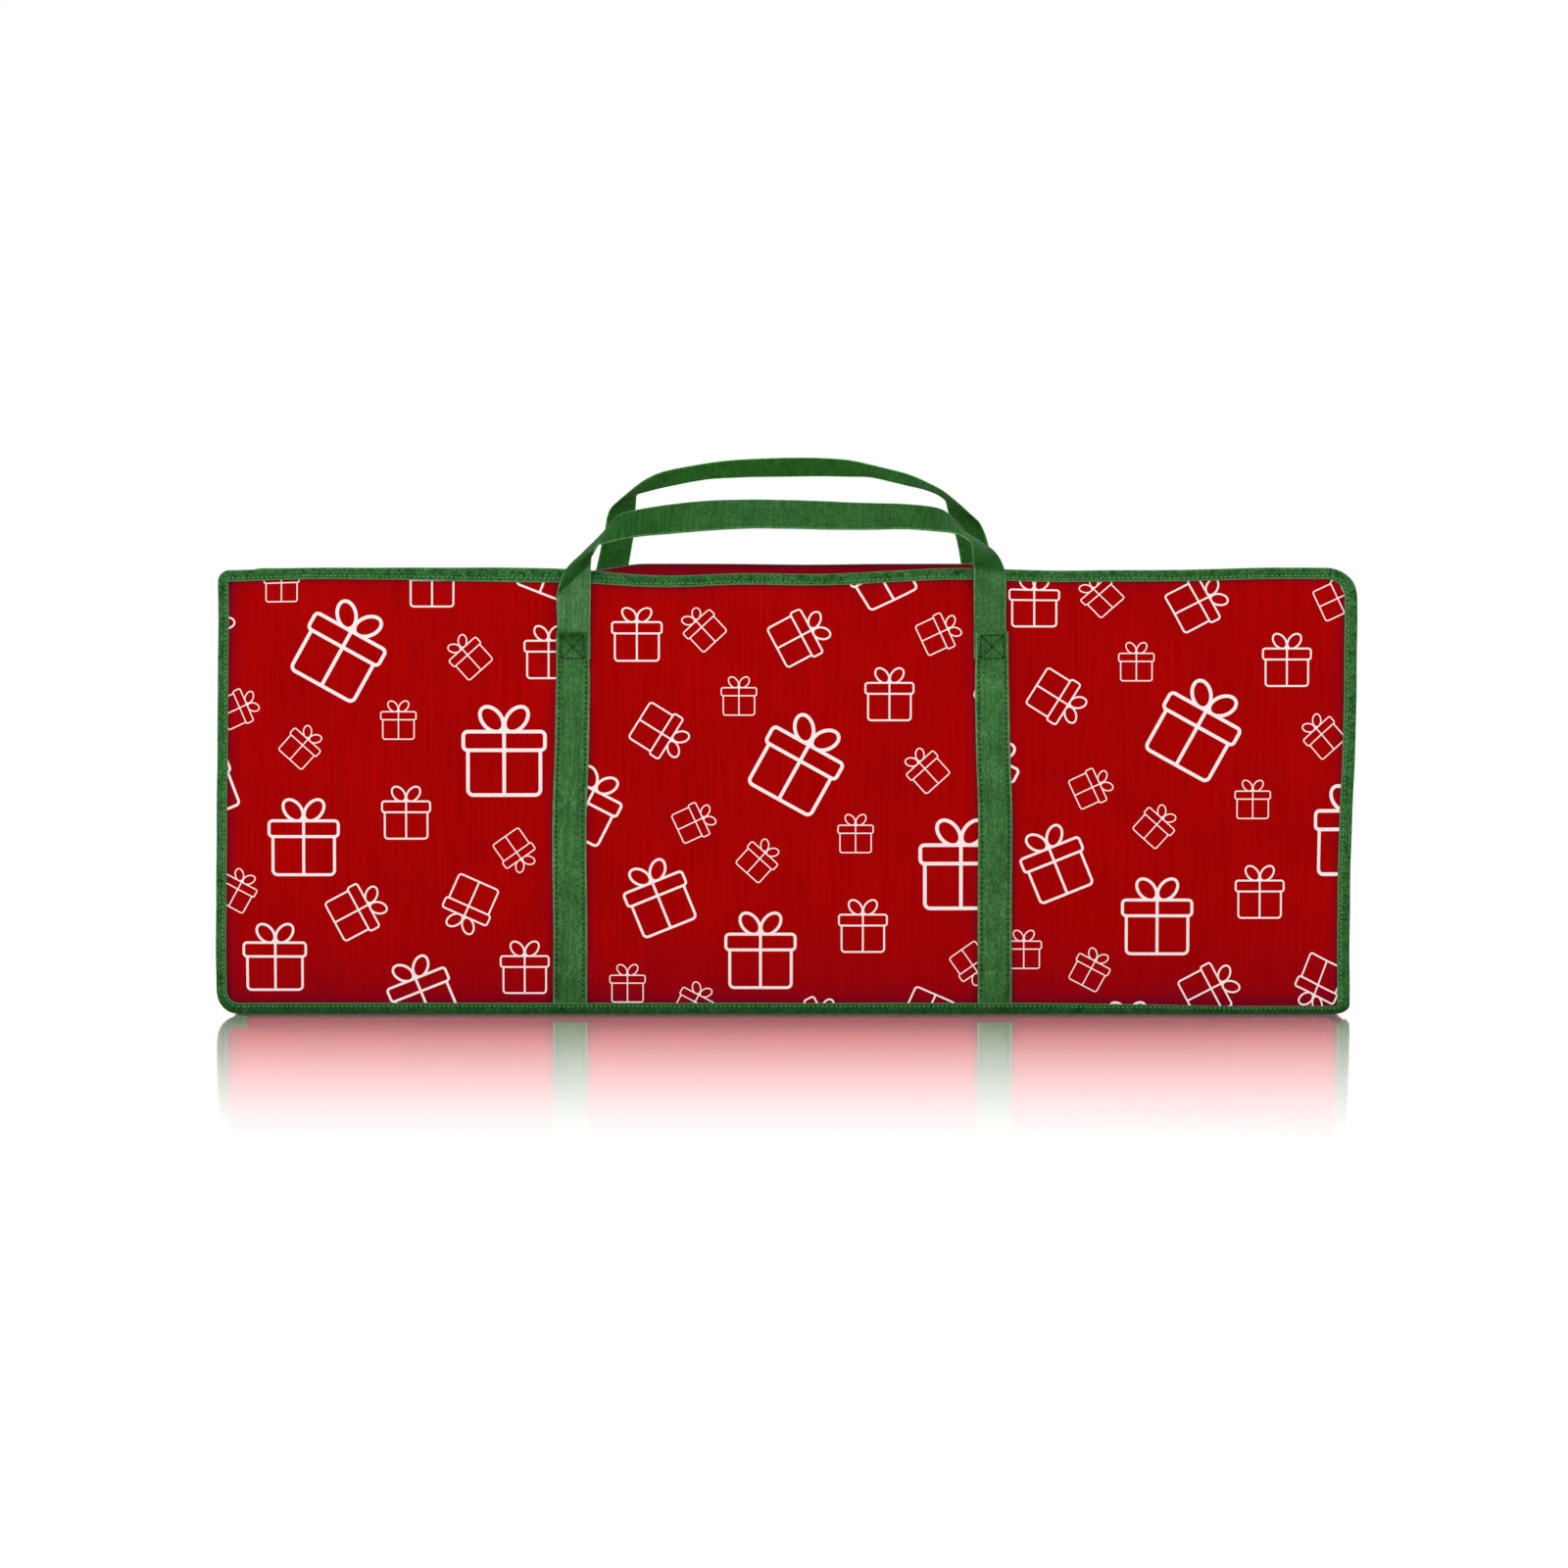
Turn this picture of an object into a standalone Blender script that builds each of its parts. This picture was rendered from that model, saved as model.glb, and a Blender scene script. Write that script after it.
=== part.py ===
"""Gift wrap storage bag: a long upright zipped bag with webbing straps and two carrying loops.

Units are metres. X runs along the length, the front face looks to -Y, and the underside is at Z = 0.
"""

import math

import bpy
import bmesh
from mathutils import Vector

# Overall body
LENGTH = 0.838
DEPTH = 0.127
HEIGHT = 0.329
GAP = 0.0003

# Fabric panels
FABRIC = 0.0015
FACE_INSET = 0.0010
END_INSET = 0.0045
TOP_INSET = 0.0058
GUSSET_RADIUS = 0.0120
ARC_STEPS = 6

# Binding tape round each face
BINDING_WIDTH = 0.0095
BINDING_DEPTH = 0.0030
BINDING_RADIUS = 0.0140
BINDING_INNER_RADIUS = 0.0008

# Stiffener on the bottom panel
BOARD_THICKNESS = 0.0030
BOARD_HALF_LENGTH = 0.4000
BOARD_HALF_DEPTH = 0.0595

# Webbing
WEBBING_WIDTH = 0.0250
WEBBING = 0.0015
FRONT_STRAP_X = (-0.1565, 0.1505)
BACK_STRAP_X = (-0.1400, 0.1485)
STRAP_TOP = 0.2850
LAP_BOTTOM = 0.2620
JOG_HEIGHT = 0.0030

# Box and cross stitching on each lap
STITCH_SIZE = 0.0170
STITCH_THREAD = 0.0012
STITCH_PROUD = 0.0005
STITCH_CENTRE_Z = 0.2730

# Carrying loops. Each point of a route is its place and how far the webbing is turned there, in
# degrees: at 0 it lies flat to the face, and at 90 it is edge-on to someone facing the bag.
HANDLE_START = STRAP_TOP + 2 * GAP
PATH_STEPS = 2
FRONT_ROUTE = (
    (-0.1565, -0.0648, HANDLE_START, 0), (-0.1562, -0.0652, 0.3000, 0),
    (-0.1552, -0.0668, 0.3110, 12), (-0.1530, -0.0724, 0.3211, 36),
    (-0.1501, -0.0740, 0.3305, 53), (-0.1472, -0.0712, 0.3384, 66),
    (-0.1418, -0.0668, 0.3463, 77), (-0.1343, -0.0630, 0.3525, 71),
    (-0.1271, -0.0600, 0.3565, 54), (-0.1206, -0.0580, 0.3592, 43),
    (-0.1112, -0.0560, 0.3613, 38), (-0.0839, -0.0535, 0.3645, 31),
    (-0.0400, -0.0520, 0.3675, 30), (0.0000, -0.0515, 0.3678, 33),
    (0.0457, -0.0520, 0.3668, 34), (0.0889, -0.0535, 0.3660, 42),
    (0.1069, -0.0550, 0.3647, 45), (0.1177, -0.0575, 0.3622, 57),
    (0.1278, -0.0615, 0.3560, 75), (0.1364, -0.0655, 0.3502, 76),
    (0.1429, -0.0695, 0.3440, 66), (0.1472, -0.0715, 0.3350, 42),
    (0.1494, -0.0700, 0.3265, 22), (0.1502, -0.0667, 0.3140, 8),
    (0.1505, -0.0652, 0.3000, 0), (0.1505, -0.0648, HANDLE_START, 0),
)
BACK_ROUTE = (
    (-0.1400, 0.0648, HANDLE_START, 0), (-0.1398, 0.0650, 0.2950, 0),
    (-0.1365, 0.0656, 0.3110, 0), (-0.1315, 0.0664, 0.3278, 3),
    (-0.1274, 0.0680, 0.3463, 15), (-0.1244, 0.0702, 0.3650, 38),
    (-0.1200, 0.0716, 0.3770, 66), (-0.1154, 0.0712, 0.3837, 79),
    (-0.1024, 0.0640, 0.3904, 67), (-0.0920, 0.0595, 0.3935, 63),
    (-0.0609, 0.0540, 0.3993, 60), (-0.0314, 0.0520, 0.4017, 58),
    (0.0130, 0.0510, 0.4025, 57), (0.0491, 0.0525, 0.4012, 62),
    (0.0705, 0.0545, 0.3985, 69), (0.0912, 0.0585, 0.3930, 70),
    (0.1060, 0.0640, 0.3879, 75), (0.1200, 0.0700, 0.3810, 80),
    (0.1284, 0.0712, 0.3715, 64), (0.1359, 0.0698, 0.3604, 42),
    (0.1388, 0.0684, 0.3522, 28), (0.1413, 0.0672, 0.3427, 12),
    (0.1445, 0.0662, 0.3278, 0), (0.1476, 0.0656, 0.3110, 0),
    (0.1484, 0.0650, 0.2950, 0), (0.1485, 0.0648, HANDLE_START, 0),
)

# Zip
FLAP_HALF_LENGTH = 0.3520
TAPE_OUTER = 0.0147
TAPE_INNER = 0.0035
TAPE_THICKNESS = 0.0010
TEETH_OUTER = 0.0032
TEETH_INNER = 0.0008
TEETH_HEIGHT = 0.0023
SLOT_HALF_WIDTH = 0.0012
SLOT_END = 0.3720
STOP_X = (0.3735, 0.3765)
STOP_HALF_WIDTH = 0.0025
STOP_HEIGHT = 0.0012

# Slider, parked at the right-hand end
SLIDER_X = 0.3635
SLIDER_LENGTH = 0.0100
SLIDER_HALF_WIDTH = 0.0036
SLIDER_PLATE = 0.0010
SLIDER_MOUTH = 0.0028
SLIDER_POST = (0.0022, 0.0008)
BRIDGE_LENGTH = 0.0060
BRIDGE_WIDTH = 0.0016
BRIDGE_LEG = 0.0008
BRIDGE_BAR = 0.0008
PULL_BAR_RADIUS = 0.0005
PULL_CLEARANCE = 0.0003
PULL_LENGTH = 0.0240
PULL_HALF_WIDTH = 0.0026
PULL_ARM_INNER = 0.0014
PULL_EYE = 0.0045

# Joint axes of the moving pieces, as distances from the middle plane and the floor
FLAP_HINGE = (DEPTH / 2 - BINDING_DEPTH - GAP, HEIGHT - TOP_INSET)
HANDLE_HINGE = (0.0690, 0.2835)

# Heights and offsets that follow
GUSSET_HALF_DEPTH = DEPTH / 2 - BINDING_DEPTH - GAP
FACE_OUTER = DEPTH / 2 - FACE_INSET
LAYER_ONE = FACE_OUTER + GAP
LAYER_TWO = LAYER_ONE + WEBBING + GAP
TOP_Z = HEIGHT - TOP_INSET
ZIP_Z = TOP_Z - FABRIC / 2

RED = (0.36, 0.004, 0.006)
DARK_RED = (0.20, 0.003, 0.006)
GREEN = (0.030, 0.165, 0.045)
DARK_GREEN = (0.012, 0.080, 0.020)
BOARD_GREY = (0.30, 0.29, 0.27)
ZIP_BLACK = (0.020, 0.020, 0.022)
STEEL = (0.55, 0.55, 0.57)


def clear_scene():
    """Remove whatever the scene holds."""
    for obj in list(bpy.data.objects):
        bpy.data.objects.remove(obj, do_unlink=True)


def new_collection(name):
    """A collection linked into the scene."""
    collection = bpy.data.collections.new(name)
    bpy.context.scene.collection.children.link(collection)
    return collection


clear_scene()
BAG = new_collection("gift_wrap_storage_bag")
CUTTERS = new_collection("cutters")


def dress(obj, colour, roughness, metallic=0.0):
    """Give an object its own material."""
    material = bpy.data.materials.new(obj.name)
    material.use_nodes = True
    shader = material.node_tree.nodes["Principled BSDF"]
    shader.inputs["Base Color"].default_value = (*colour, 1.0)
    shader.inputs["Roughness"].default_value = roughness
    shader.inputs["Metallic"].default_value = metallic
    obj.data.materials.append(material)


def mesh_object(name, mesh_builder, collection=BAG):
    """An object from the bmesh that the builder returns, with its normals facing out."""
    mesh = bpy.data.meshes.new(name)
    built = mesh_builder()
    bmesh.ops.recalc_face_normals(built, faces=built.faces)
    built.to_mesh(mesh)
    built.free()
    obj = bpy.data.objects.new(name, mesh)
    collection.objects.link(obj)
    return obj


def box(name, low, high, collection=BAG):
    """A plain box between two corners."""
    def build():
        built = bmesh.new()
        bmesh.ops.create_cube(built, size=1.0)
        size = [b - a for a, b in zip(low, high)]
        middle = [(a + b) / 2 for a, b in zip(low, high)]
        bmesh.ops.scale(built, vec=size, verts=built.verts)
        bmesh.ops.translate(built, vec=middle, verts=built.verts)
        return built
    return mesh_object(name, build, collection)


def extruded(name, outlines, low, high, along):
    """A flat outline, with any holes, extruded along X (outline in Y, Z) or Y (outline in X, Z)."""
    curve = bpy.data.curves.new(name, "CURVE")
    curve.dimensions = "2D"
    curve.fill_mode = "BOTH"
    curve.extrude = (high - low) / 2
    for outline in outlines:
        spline = curve.splines.new("POLY")
        spline.points.add(len(outline) - 1)
        for point, (across, up) in zip(spline.points, outline):
            point.co = (across, up, 0.0, 1.0)
        spline.use_cyclic_u = True
    obj = bpy.data.objects.new(name, curve)
    quarter = math.pi / 2
    obj.rotation_euler = (quarter, 0.0, quarter if along == "X" else 0.0)
    setattr(obj.location, along.lower(), (low + high) / 2)
    BAG.objects.link(obj)
    return obj


def cut(obj, cutter):
    """Take the cutter out of an object."""
    cutter.hide_render = True
    cutter.display_type = "WIRE"
    modifier = obj.modifiers.new("cut", "BOOLEAN")
    modifier.operation = "DIFFERENCE"
    modifier.object = cutter


def join(obj, other):
    """Fuse a helper solid into an object."""
    other.hide_render = True
    other.display_type = "WIRE"
    modifier = obj.modifiers.new("join", "BOOLEAN")
    modifier.operation = "UNION"
    modifier.object = other


def arc(centre, radius, start, end):
    """Points along an arc, from one angle in degrees to another."""
    angles = [math.radians(start + (end - start) * i / ARC_STEPS) for i in range(ARC_STEPS + 1)]
    return [(centre[0] + radius * math.cos(a), centre[1] + radius * math.sin(a)) for a in angles]


def rounded_rectangle(half_length, low, high, radius):
    """Outline of a rectangle in X, Z with round corners."""
    inner = half_length - radius
    return (
        arc((inner, low + radius), radius, -90, 0)
        + arc((inner, high - radius), radius, 0, 90)
        + arc((-inner, high - radius), radius, 90, 180)
        + arc((-inner, low + radius), radius, 180, 270)
    )


def build_gusset():
    """The bottom panel, its stiffener and the two end panels that turn the corners."""
    corner_x = LENGTH / 2 - END_INSET - GUSSET_RADIUS
    bottom = box(
        "bottom_panel",
        (-corner_x + GAP, -GUSSET_HALF_DEPTH, 0.0),
        (corner_x - GAP, GUSSET_HALF_DEPTH, FABRIC),
    )
    dress(bottom, RED, 0.6)
    board_z = FABRIC + GAP
    board = box(
        "base_board",
        (-BOARD_HALF_LENGTH, -BOARD_HALF_DEPTH, board_z),
        (BOARD_HALF_LENGTH, BOARD_HALF_DEPTH, board_z + BOARD_THICKNESS),
    )
    dress(board, BOARD_GREY, 0.8)
    for side, sign in (("left", -1), ("right", 1)):
        low_centre = (corner_x, GUSSET_RADIUS)
        high_centre = (corner_x, TOP_Z - GUSSET_RADIUS)
        outside = arc(low_centre, GUSSET_RADIUS, -90, 0) + arc(high_centre, GUSSET_RADIUS, 0, 90)
        lining = GUSSET_RADIUS - FABRIC
        inside = arc(high_centre, lining, 90, 0) + arc(low_centre, lining, 0, -90)
        outline = [(sign * x, z) for x, z in outside + inside]
        panel = extruded(
            f"{side}_end_panel", [outline], -GUSSET_HALF_DEPTH, GUSSET_HALF_DEPTH, "Y"
        )
        dress(panel, RED, 0.6)
    return corner_x


def build_face(face, sign, strap_x):
    """One printed face in three cuts, seamed under the straps, and its ring of binding tape."""
    edge = LENGTH / 2 - BINDING_WIDTH - GAP
    low = BINDING_WIDTH + GAP
    high = HEIGHT - BINDING_WIDTH - GAP
    seams = (-edge, strap_x[0], strap_x[1], edge)
    y = sorted((sign * FACE_OUTER, sign * (FACE_OUTER - FABRIC)))
    for i, cut_name in enumerate(("left", "centre", "right")):
        start = seams[i] + (GAP / 2 if i else 0.0)
        end = seams[i + 1] - (GAP / 2 if i < 2 else 0.0)
        panel = box(f"{face}_panel_{cut_name}", (start, y[0], low), (end, y[1], high))
        dress(panel, RED, 0.6)
    outer = rounded_rectangle(LENGTH / 2, 0.0, HEIGHT, BINDING_RADIUS)
    inner = rounded_rectangle(
        LENGTH / 2 - BINDING_WIDTH,
        BINDING_WIDTH,
        HEIGHT - BINDING_WIDTH,
        BINDING_INNER_RADIUS,
    )
    ring_y = sorted((sign * DEPTH / 2, sign * (DEPTH / 2 - BINDING_DEPTH)))
    ring = extruded(f"{face}_binding", [outer, inner], ring_y[0], ring_y[1], "Y")
    dress(ring, GREEN, 0.7)


def build_strap(face, side, sign, x):
    """A flat strap up the face whose top steps out over the sewn end of the handle."""
    near, far = LAYER_ONE, LAYER_ONE + WEBBING
    step, step_far = LAYER_TWO, LAYER_TWO + WEBBING
    low = BINDING_WIDTH + GAP
    jog_top = LAP_BOTTOM - 2 * GAP
    jog_low = jog_top - JOG_HEIGHT
    half_outline = [
        (far, low), (far, jog_low), (step_far, jog_top), (step_far, STRAP_TOP),
        (step, STRAP_TOP), (step, jog_top), (near, jog_low), (near, low),
    ]
    outline = [(sign * y, z) for y, z in half_outline]
    half = WEBBING_WIDTH / 2
    strap = extruded(f"{face}_strap_{side}", [outline], x - half, x + half, "X")
    dress(strap, GREEN, 0.65)


def build_lap(face, side, sign, x):
    """The sewn end of a handle, under the top of the strap, and its box and cross stitching."""
    half = WEBBING_WIDTH / 2
    y = sorted((sign * LAYER_ONE, sign * (LAYER_ONE + WEBBING)))
    lap = box(
        f"{face}_handle_lap_{side}", (x - half, y[0], LAP_BOTTOM), (x + half, y[1], STRAP_TOP)
    )
    dress(lap, DARK_GREEN, 0.65)
    outer = STITCH_SIZE / 2
    inner = outer - STITCH_THREAD
    diagonal = STITCH_THREAD * 0.7
    square = [(x - outer, STITCH_CENTRE_Z - outer), (x + outer, STITCH_CENTRE_Z - outer),
              (x + outer, STITCH_CENTRE_Z + outer), (x - outer, STITCH_CENTRE_Z + outer)]
    windows = []
    for quarter in range(4):
        turn = math.radians(90 * quarter)
        corners = ((diagonal, 0.0), (inner, inner - diagonal), (inner, diagonal - inner))
        windows.append([
            (x + a * math.cos(turn) - b * math.sin(turn),
             STITCH_CENTRE_Z + a * math.sin(turn) + b * math.cos(turn))
            for a, b in corners
        ])
    start = LAYER_TWO + WEBBING + GAP
    stitch_y = sorted((sign * start, sign * (start + STITCH_PROUD)))
    stitch = extruded(
        f"{face}_box_stitch_{side}", [square, *windows], stitch_y[0], stitch_y[1], "Y"
    )
    dress(stitch, DARK_GREEN, 0.5)


def smooth_route(points):
    """Points along a Catmull-Rom curve through the given ones, each its place and its turn."""
    route = [Vector(p) for p in points]
    padded = [2 * route[0] - route[1], *route, 2 * route[-1] - route[-2]]
    path = []
    for before, start, end, after in zip(padded, padded[1:], padded[2:], padded[3:]):
        for step in range(PATH_STEPS):
            t = step / PATH_STEPS
            path.append(0.5 * (
                2 * start
                + (end - before) * t
                + (2 * before - 5 * start + 4 * end - after) * t ** 2
                + (3 * start - before - 3 * end + after) * t ** 3
            ))
    path.append(route[-1])
    return [(point.xyz, math.radians(point.w)) for point in path]


def build_handle(name, sign, route):
    """A carrying loop of flat webbing, which turns edge-on to round each corner of its arch."""
    path = smooth_route(route)
    half = WEBBING_WIDTH / 2

    def build():
        built = bmesh.new()
        rows = []
        for i, (point, turn) in enumerate(path):
            before, after = path[max(i - 1, 0)][0], path[min(i + 1, len(path) - 1)][0]
            ahead = (after - before).normalized()
            off_the_arch = Vector((-ahead.z, 0.0, ahead.x)).normalized()
            outward = Vector((0.0, sign * math.cos(turn), 0.0)) + math.sin(turn) * off_the_arch
            side = ahead.cross(outward).normalized() * half
            rows.append([built.verts.new(point - side), built.verts.new(point + side)])
        for first, second in zip(rows, rows[1:]):
            built.faces.new((first[0], first[1], second[1], second[0]))
        return built

    handle = mesh_object(name, build)
    solidify = handle.modifiers.new("webbing", "SOLIDIFY")
    solidify.thickness = WEBBING
    solidify.offset = 0.0
    dress(handle, GREEN, 0.65)
    return handle


def build_top(corner_x):
    """The two folding halves of the top with their zip tapes and teeth, and the fixed ends."""
    top_low = TOP_Z - FABRIC
    moving = {}
    for face, sign in (("front", -1), ("back", 1)):
        rows = (
            ("top_flap", TAPE_OUTER + GAP, GUSSET_HALF_DEPTH, top_low, TOP_Z, DARK_RED, 0.6),
            ("zip_tape", TAPE_INNER, TAPE_OUTER, ZIP_Z - TAPE_THICKNESS / 2,
             ZIP_Z + TAPE_THICKNESS / 2, ZIP_BLACK, 0.8),
            ("zip_teeth", TEETH_INNER, TEETH_OUTER, ZIP_Z - TEETH_HEIGHT / 2,
             ZIP_Z + TEETH_HEIGHT / 2, ZIP_BLACK, 0.4),
        )
        moving[face] = []
        for piece, inner, outer, low, high, colour, roughness in rows:
            y = sorted((sign * inner, sign * outer))
            obj = box(
                f"{face}_{piece}", (-FLAP_HALF_LENGTH, y[0], low), (FLAP_HALF_LENGTH, y[1], high)
            )
            dress(obj, colour, roughness)
            moving[face].append(obj)
    for side, sign in (("left", -1), ("right", 1)):
        x = sorted((sign * (FLAP_HALF_LENGTH + GAP), sign * (corner_x - GAP)))
        strip = box(
            f"{side}_top_strip",
            (x[0], -GUSSET_HALF_DEPTH, top_low),
            (x[1], GUSSET_HALF_DEPTH, TOP_Z),
        )
        slot_x = sorted((sign * (FLAP_HALF_LENGTH - GAP), sign * SLOT_END))
        slot = box(
            f"{side}_zip_slot",
            (slot_x[0], -SLOT_HALF_WIDTH, top_low - FABRIC),
            (slot_x[1], SLOT_HALF_WIDTH, TOP_Z + FABRIC),
            CUTTERS,
        )
        cut(strip, slot)
        dress(strip, DARK_RED, 0.6)
        stop_x = sorted(sign * x for x in STOP_X)
        stop = box(
            f"{side}_zip_stop",
            (stop_x[0], -STOP_HALF_WIDTH, TOP_Z + GAP),
            (stop_x[1], STOP_HALF_WIDTH, TOP_Z + GAP + STOP_HEIGHT),
        )
        dress(stop, STEEL, 0.35, 0.9)
    return moving


def build_slider():
    """The zip slider: two plates joined by a post, with a bridge on top that holds the pull."""
    half_length = SLIDER_LENGTH / 2
    half_mouth = SLIDER_MOUTH / 2
    low_x, high_x = SLIDER_X - half_length, SLIDER_X + half_length
    plate_top = ZIP_Z + half_mouth + SLIDER_PLATE
    slider = box(
        "zip_slider",
        (low_x, -SLIDER_HALF_WIDTH, ZIP_Z + half_mouth),
        (high_x, SLIDER_HALF_WIDTH, plate_top),
    )
    under = box(
        "slider_under_plate",
        (low_x, -SLIDER_HALF_WIDTH, ZIP_Z - half_mouth - SLIDER_PLATE),
        (high_x, SLIDER_HALF_WIDTH, ZIP_Z - half_mouth),
        CUTTERS,
    )
    post_length, post_width = SLIDER_POST
    post = box(
        "slider_post",
        (high_x - post_length, -post_width / 2, ZIP_Z - half_mouth - SLIDER_PLATE / 2),
        (high_x - GAP, post_width / 2, ZIP_Z + half_mouth + SLIDER_PLATE / 2),
        CUTTERS,
    )
    bar_low = plate_top + 2 * (PULL_CLEARANCE + PULL_BAR_RADIUS)
    half_bridge = BRIDGE_LENGTH / 2
    bridge = box(
        "slider_bridge",
        (SLIDER_X - half_bridge, -BRIDGE_WIDTH / 2, plate_top - SLIDER_PLATE / 2),
        (SLIDER_X + half_bridge, BRIDGE_WIDTH / 2, bar_low + BRIDGE_BAR),
        CUTTERS,
    )
    eye = box(
        "slider_bridge_eye",
        (SLIDER_X - half_bridge + BRIDGE_LEG, -BRIDGE_WIDTH, plate_top),
        (SLIDER_X + half_bridge - BRIDGE_LEG, BRIDGE_WIDTH, bar_low),
        CUTTERS,
    )
    for helper in (under, post, bridge):
        join(slider, helper)
    cut(slider, eye)
    dress(slider, STEEL, 0.3, 0.9)
    return slider, plate_top + PULL_CLEARANCE + PULL_BAR_RADIUS


def build_pull(axis_z):
    """The pull tab, lying flat to the right, with an eye that turns under the slider's bridge."""
    tab = box(
        "zip_pull",
        (SLIDER_X, -PULL_HALF_WIDTH, axis_z - PULL_BAR_RADIUS),
        (SLIDER_X + PULL_LENGTH, PULL_HALF_WIDTH, axis_z + PULL_BAR_RADIUS),
    )
    eye = box(
        "pull_eye",
        (SLIDER_X + PULL_BAR_RADIUS, -PULL_ARM_INNER, axis_z - FABRIC),
        (SLIDER_X + PULL_EYE, PULL_ARM_INNER, axis_z + FABRIC),
        CUTTERS,
    )

    def build_bar():
        built = bmesh.new()
        bmesh.ops.create_cone(
            built, cap_ends=True, segments=12, radius1=PULL_BAR_RADIUS, radius2=PULL_BAR_RADIUS,
            depth=2 * PULL_HALF_WIDTH,
        )
        return built

    bar = mesh_object("pull_bar", build_bar, CUTTERS)
    bar.rotation_euler = (math.pi / 2, 0.0, 0.0)
    bar.location = (SLIDER_X, 0.0, axis_z)
    join(tab, bar)
    cut(tab, eye)
    dress(tab, STEEL, 0.3, 0.9)
    return tab


def carry(name, position, pieces):
    """An empty on a joint's axis that carries the pieces which move about it."""
    pivot = bpy.data.objects.new(name, None)
    pivot.location = position
    BAG.objects.link(pivot)
    bpy.context.view_layer.update()
    for piece in pieces:
        piece.parent = pivot
        piece.matrix_parent_inverse = pivot.matrix_world.inverted()


corner = build_gusset()
for face_name, facing, strap_places in (("front", -1, FRONT_STRAP_X), ("back", 1, BACK_STRAP_X)):
    build_face(face_name, facing, strap_places)
    for side_name, strap_place in zip(("left", "right"), strap_places):
        build_strap(face_name, side_name, facing, strap_place)
        build_lap(face_name, side_name, facing, strap_place)
top_pieces = build_top(corner)
slider_body, pull_axis_z = build_slider()
pull_tab = build_pull(pull_axis_z)
front_loop = build_handle("front_handle", -1, FRONT_ROUTE)
back_loop = build_handle("back_handle", 1, BACK_ROUTE)

carry("front_flap_axis", (0.0, -FLAP_HINGE[0], FLAP_HINGE[1]), top_pieces["front"])
carry("back_flap_axis", (0.0, FLAP_HINGE[0], FLAP_HINGE[1]), top_pieces["back"])
carry("slider_axis", (SLIDER_X, 0.0, ZIP_Z), [slider_body])
carry("pull_axis", (SLIDER_X, 0.0, pull_axis_z), [pull_tab])
carry("front_handle_axis", (0.0, -HANDLE_HINGE[0], HANDLE_HINGE[1]), [front_loop])
carry("back_handle_axis", (0.0, HANDLE_HINGE[0], HANDLE_HINGE[1]), [back_loop])
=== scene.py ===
"""Looks of a gift wrap storage bag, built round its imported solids.

Units are metres. X runs along the length, the front face looks to -Y and the bag stands on Z = 0.
On a face, u runs to the right of someone who looks at it, and z runs up.
"""

import logging
import math
from dataclasses import dataclass, field
from enum import Enum
from typing import Any, Callable, Iterable, Sequence

import bmesh
import bpy
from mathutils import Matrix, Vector, noise
from mathutils.geometry import delaunay_2d_cdt

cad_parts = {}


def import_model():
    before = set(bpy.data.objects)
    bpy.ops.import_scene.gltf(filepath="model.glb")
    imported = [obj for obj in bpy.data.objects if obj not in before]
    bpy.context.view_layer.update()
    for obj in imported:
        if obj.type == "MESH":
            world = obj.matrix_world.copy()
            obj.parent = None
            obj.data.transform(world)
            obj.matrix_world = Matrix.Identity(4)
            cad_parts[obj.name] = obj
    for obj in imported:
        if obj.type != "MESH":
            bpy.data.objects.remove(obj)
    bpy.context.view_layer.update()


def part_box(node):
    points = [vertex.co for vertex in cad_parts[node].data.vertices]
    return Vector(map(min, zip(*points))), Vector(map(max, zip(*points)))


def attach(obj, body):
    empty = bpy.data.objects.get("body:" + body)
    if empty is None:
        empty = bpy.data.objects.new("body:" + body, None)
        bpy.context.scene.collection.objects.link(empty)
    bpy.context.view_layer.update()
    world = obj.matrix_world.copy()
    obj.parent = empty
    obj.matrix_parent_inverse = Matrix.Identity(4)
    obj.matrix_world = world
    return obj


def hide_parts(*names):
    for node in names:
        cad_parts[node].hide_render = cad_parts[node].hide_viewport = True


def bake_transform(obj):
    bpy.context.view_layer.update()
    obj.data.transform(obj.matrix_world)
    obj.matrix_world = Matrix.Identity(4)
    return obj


log = logging.getLogger("gift_wrap_storage_bag")

Colour = tuple[float, float, float, float]
Flat = tuple[float, float]
Put = Callable[[float, float, float], Vector]
Socket = bpy.types.NodeSocket
Material = bpy.types.Material
Piece = bpy.types.Object

CLOTH = "cloth"
# Point attribute for painted shade: how far a point's colour goes towards its finish's darker second colour.
SHADE = "shade"
SIDES = ("left", "right")
SHARP_ANGLE = 50.0
LOW_HALF = 0.1
WHITE = (1.0, 1.0, 1.0, 1.0)
BLACK = (0.0, 0.0, 0.0, 1.0)


class Face(Enum):
    """The two printed faces, with the side of Y that each looks to."""

    FRONT = -1
    BACK = 1

    @property
    def word(self) -> str:
        """The face's name as the solids use it."""
        return self.name.lower()


class Edge(Enum):
    """The four sides of a face, in the order that the binding tape runs."""

    BOTTOM = 0
    RIGHT = 1
    TOP = 2
    LEFT = 3


def srgb(red: int, green: int, blue: int) -> Colour:
    """A screen colour as linear light.

    Args:
        red: Red, from 0 to 255.
        green: Green, from 0 to 255.
        blue: Blue, from 0 to 255.

    Returns:
        The linear colour, with full alpha.
    """
    shares = [value / 255 for value in (red, green, blue)]
    linear = [s / 12.92 if s <= 0.04045 else ((s + 0.055) / 1.055) ** 2.4 for s in shares]
    return (linear[0], linear[1], linear[2], 1.0)


def scaled(colour: Colour, gain: float, lift: float = 0.0) -> Colour:
    """A colour made lighter or darker."""
    red, green, blue = (min(1.0, gain * c + lift) for c in colour[:3])
    return (red, green, blue, 1.0)


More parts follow.
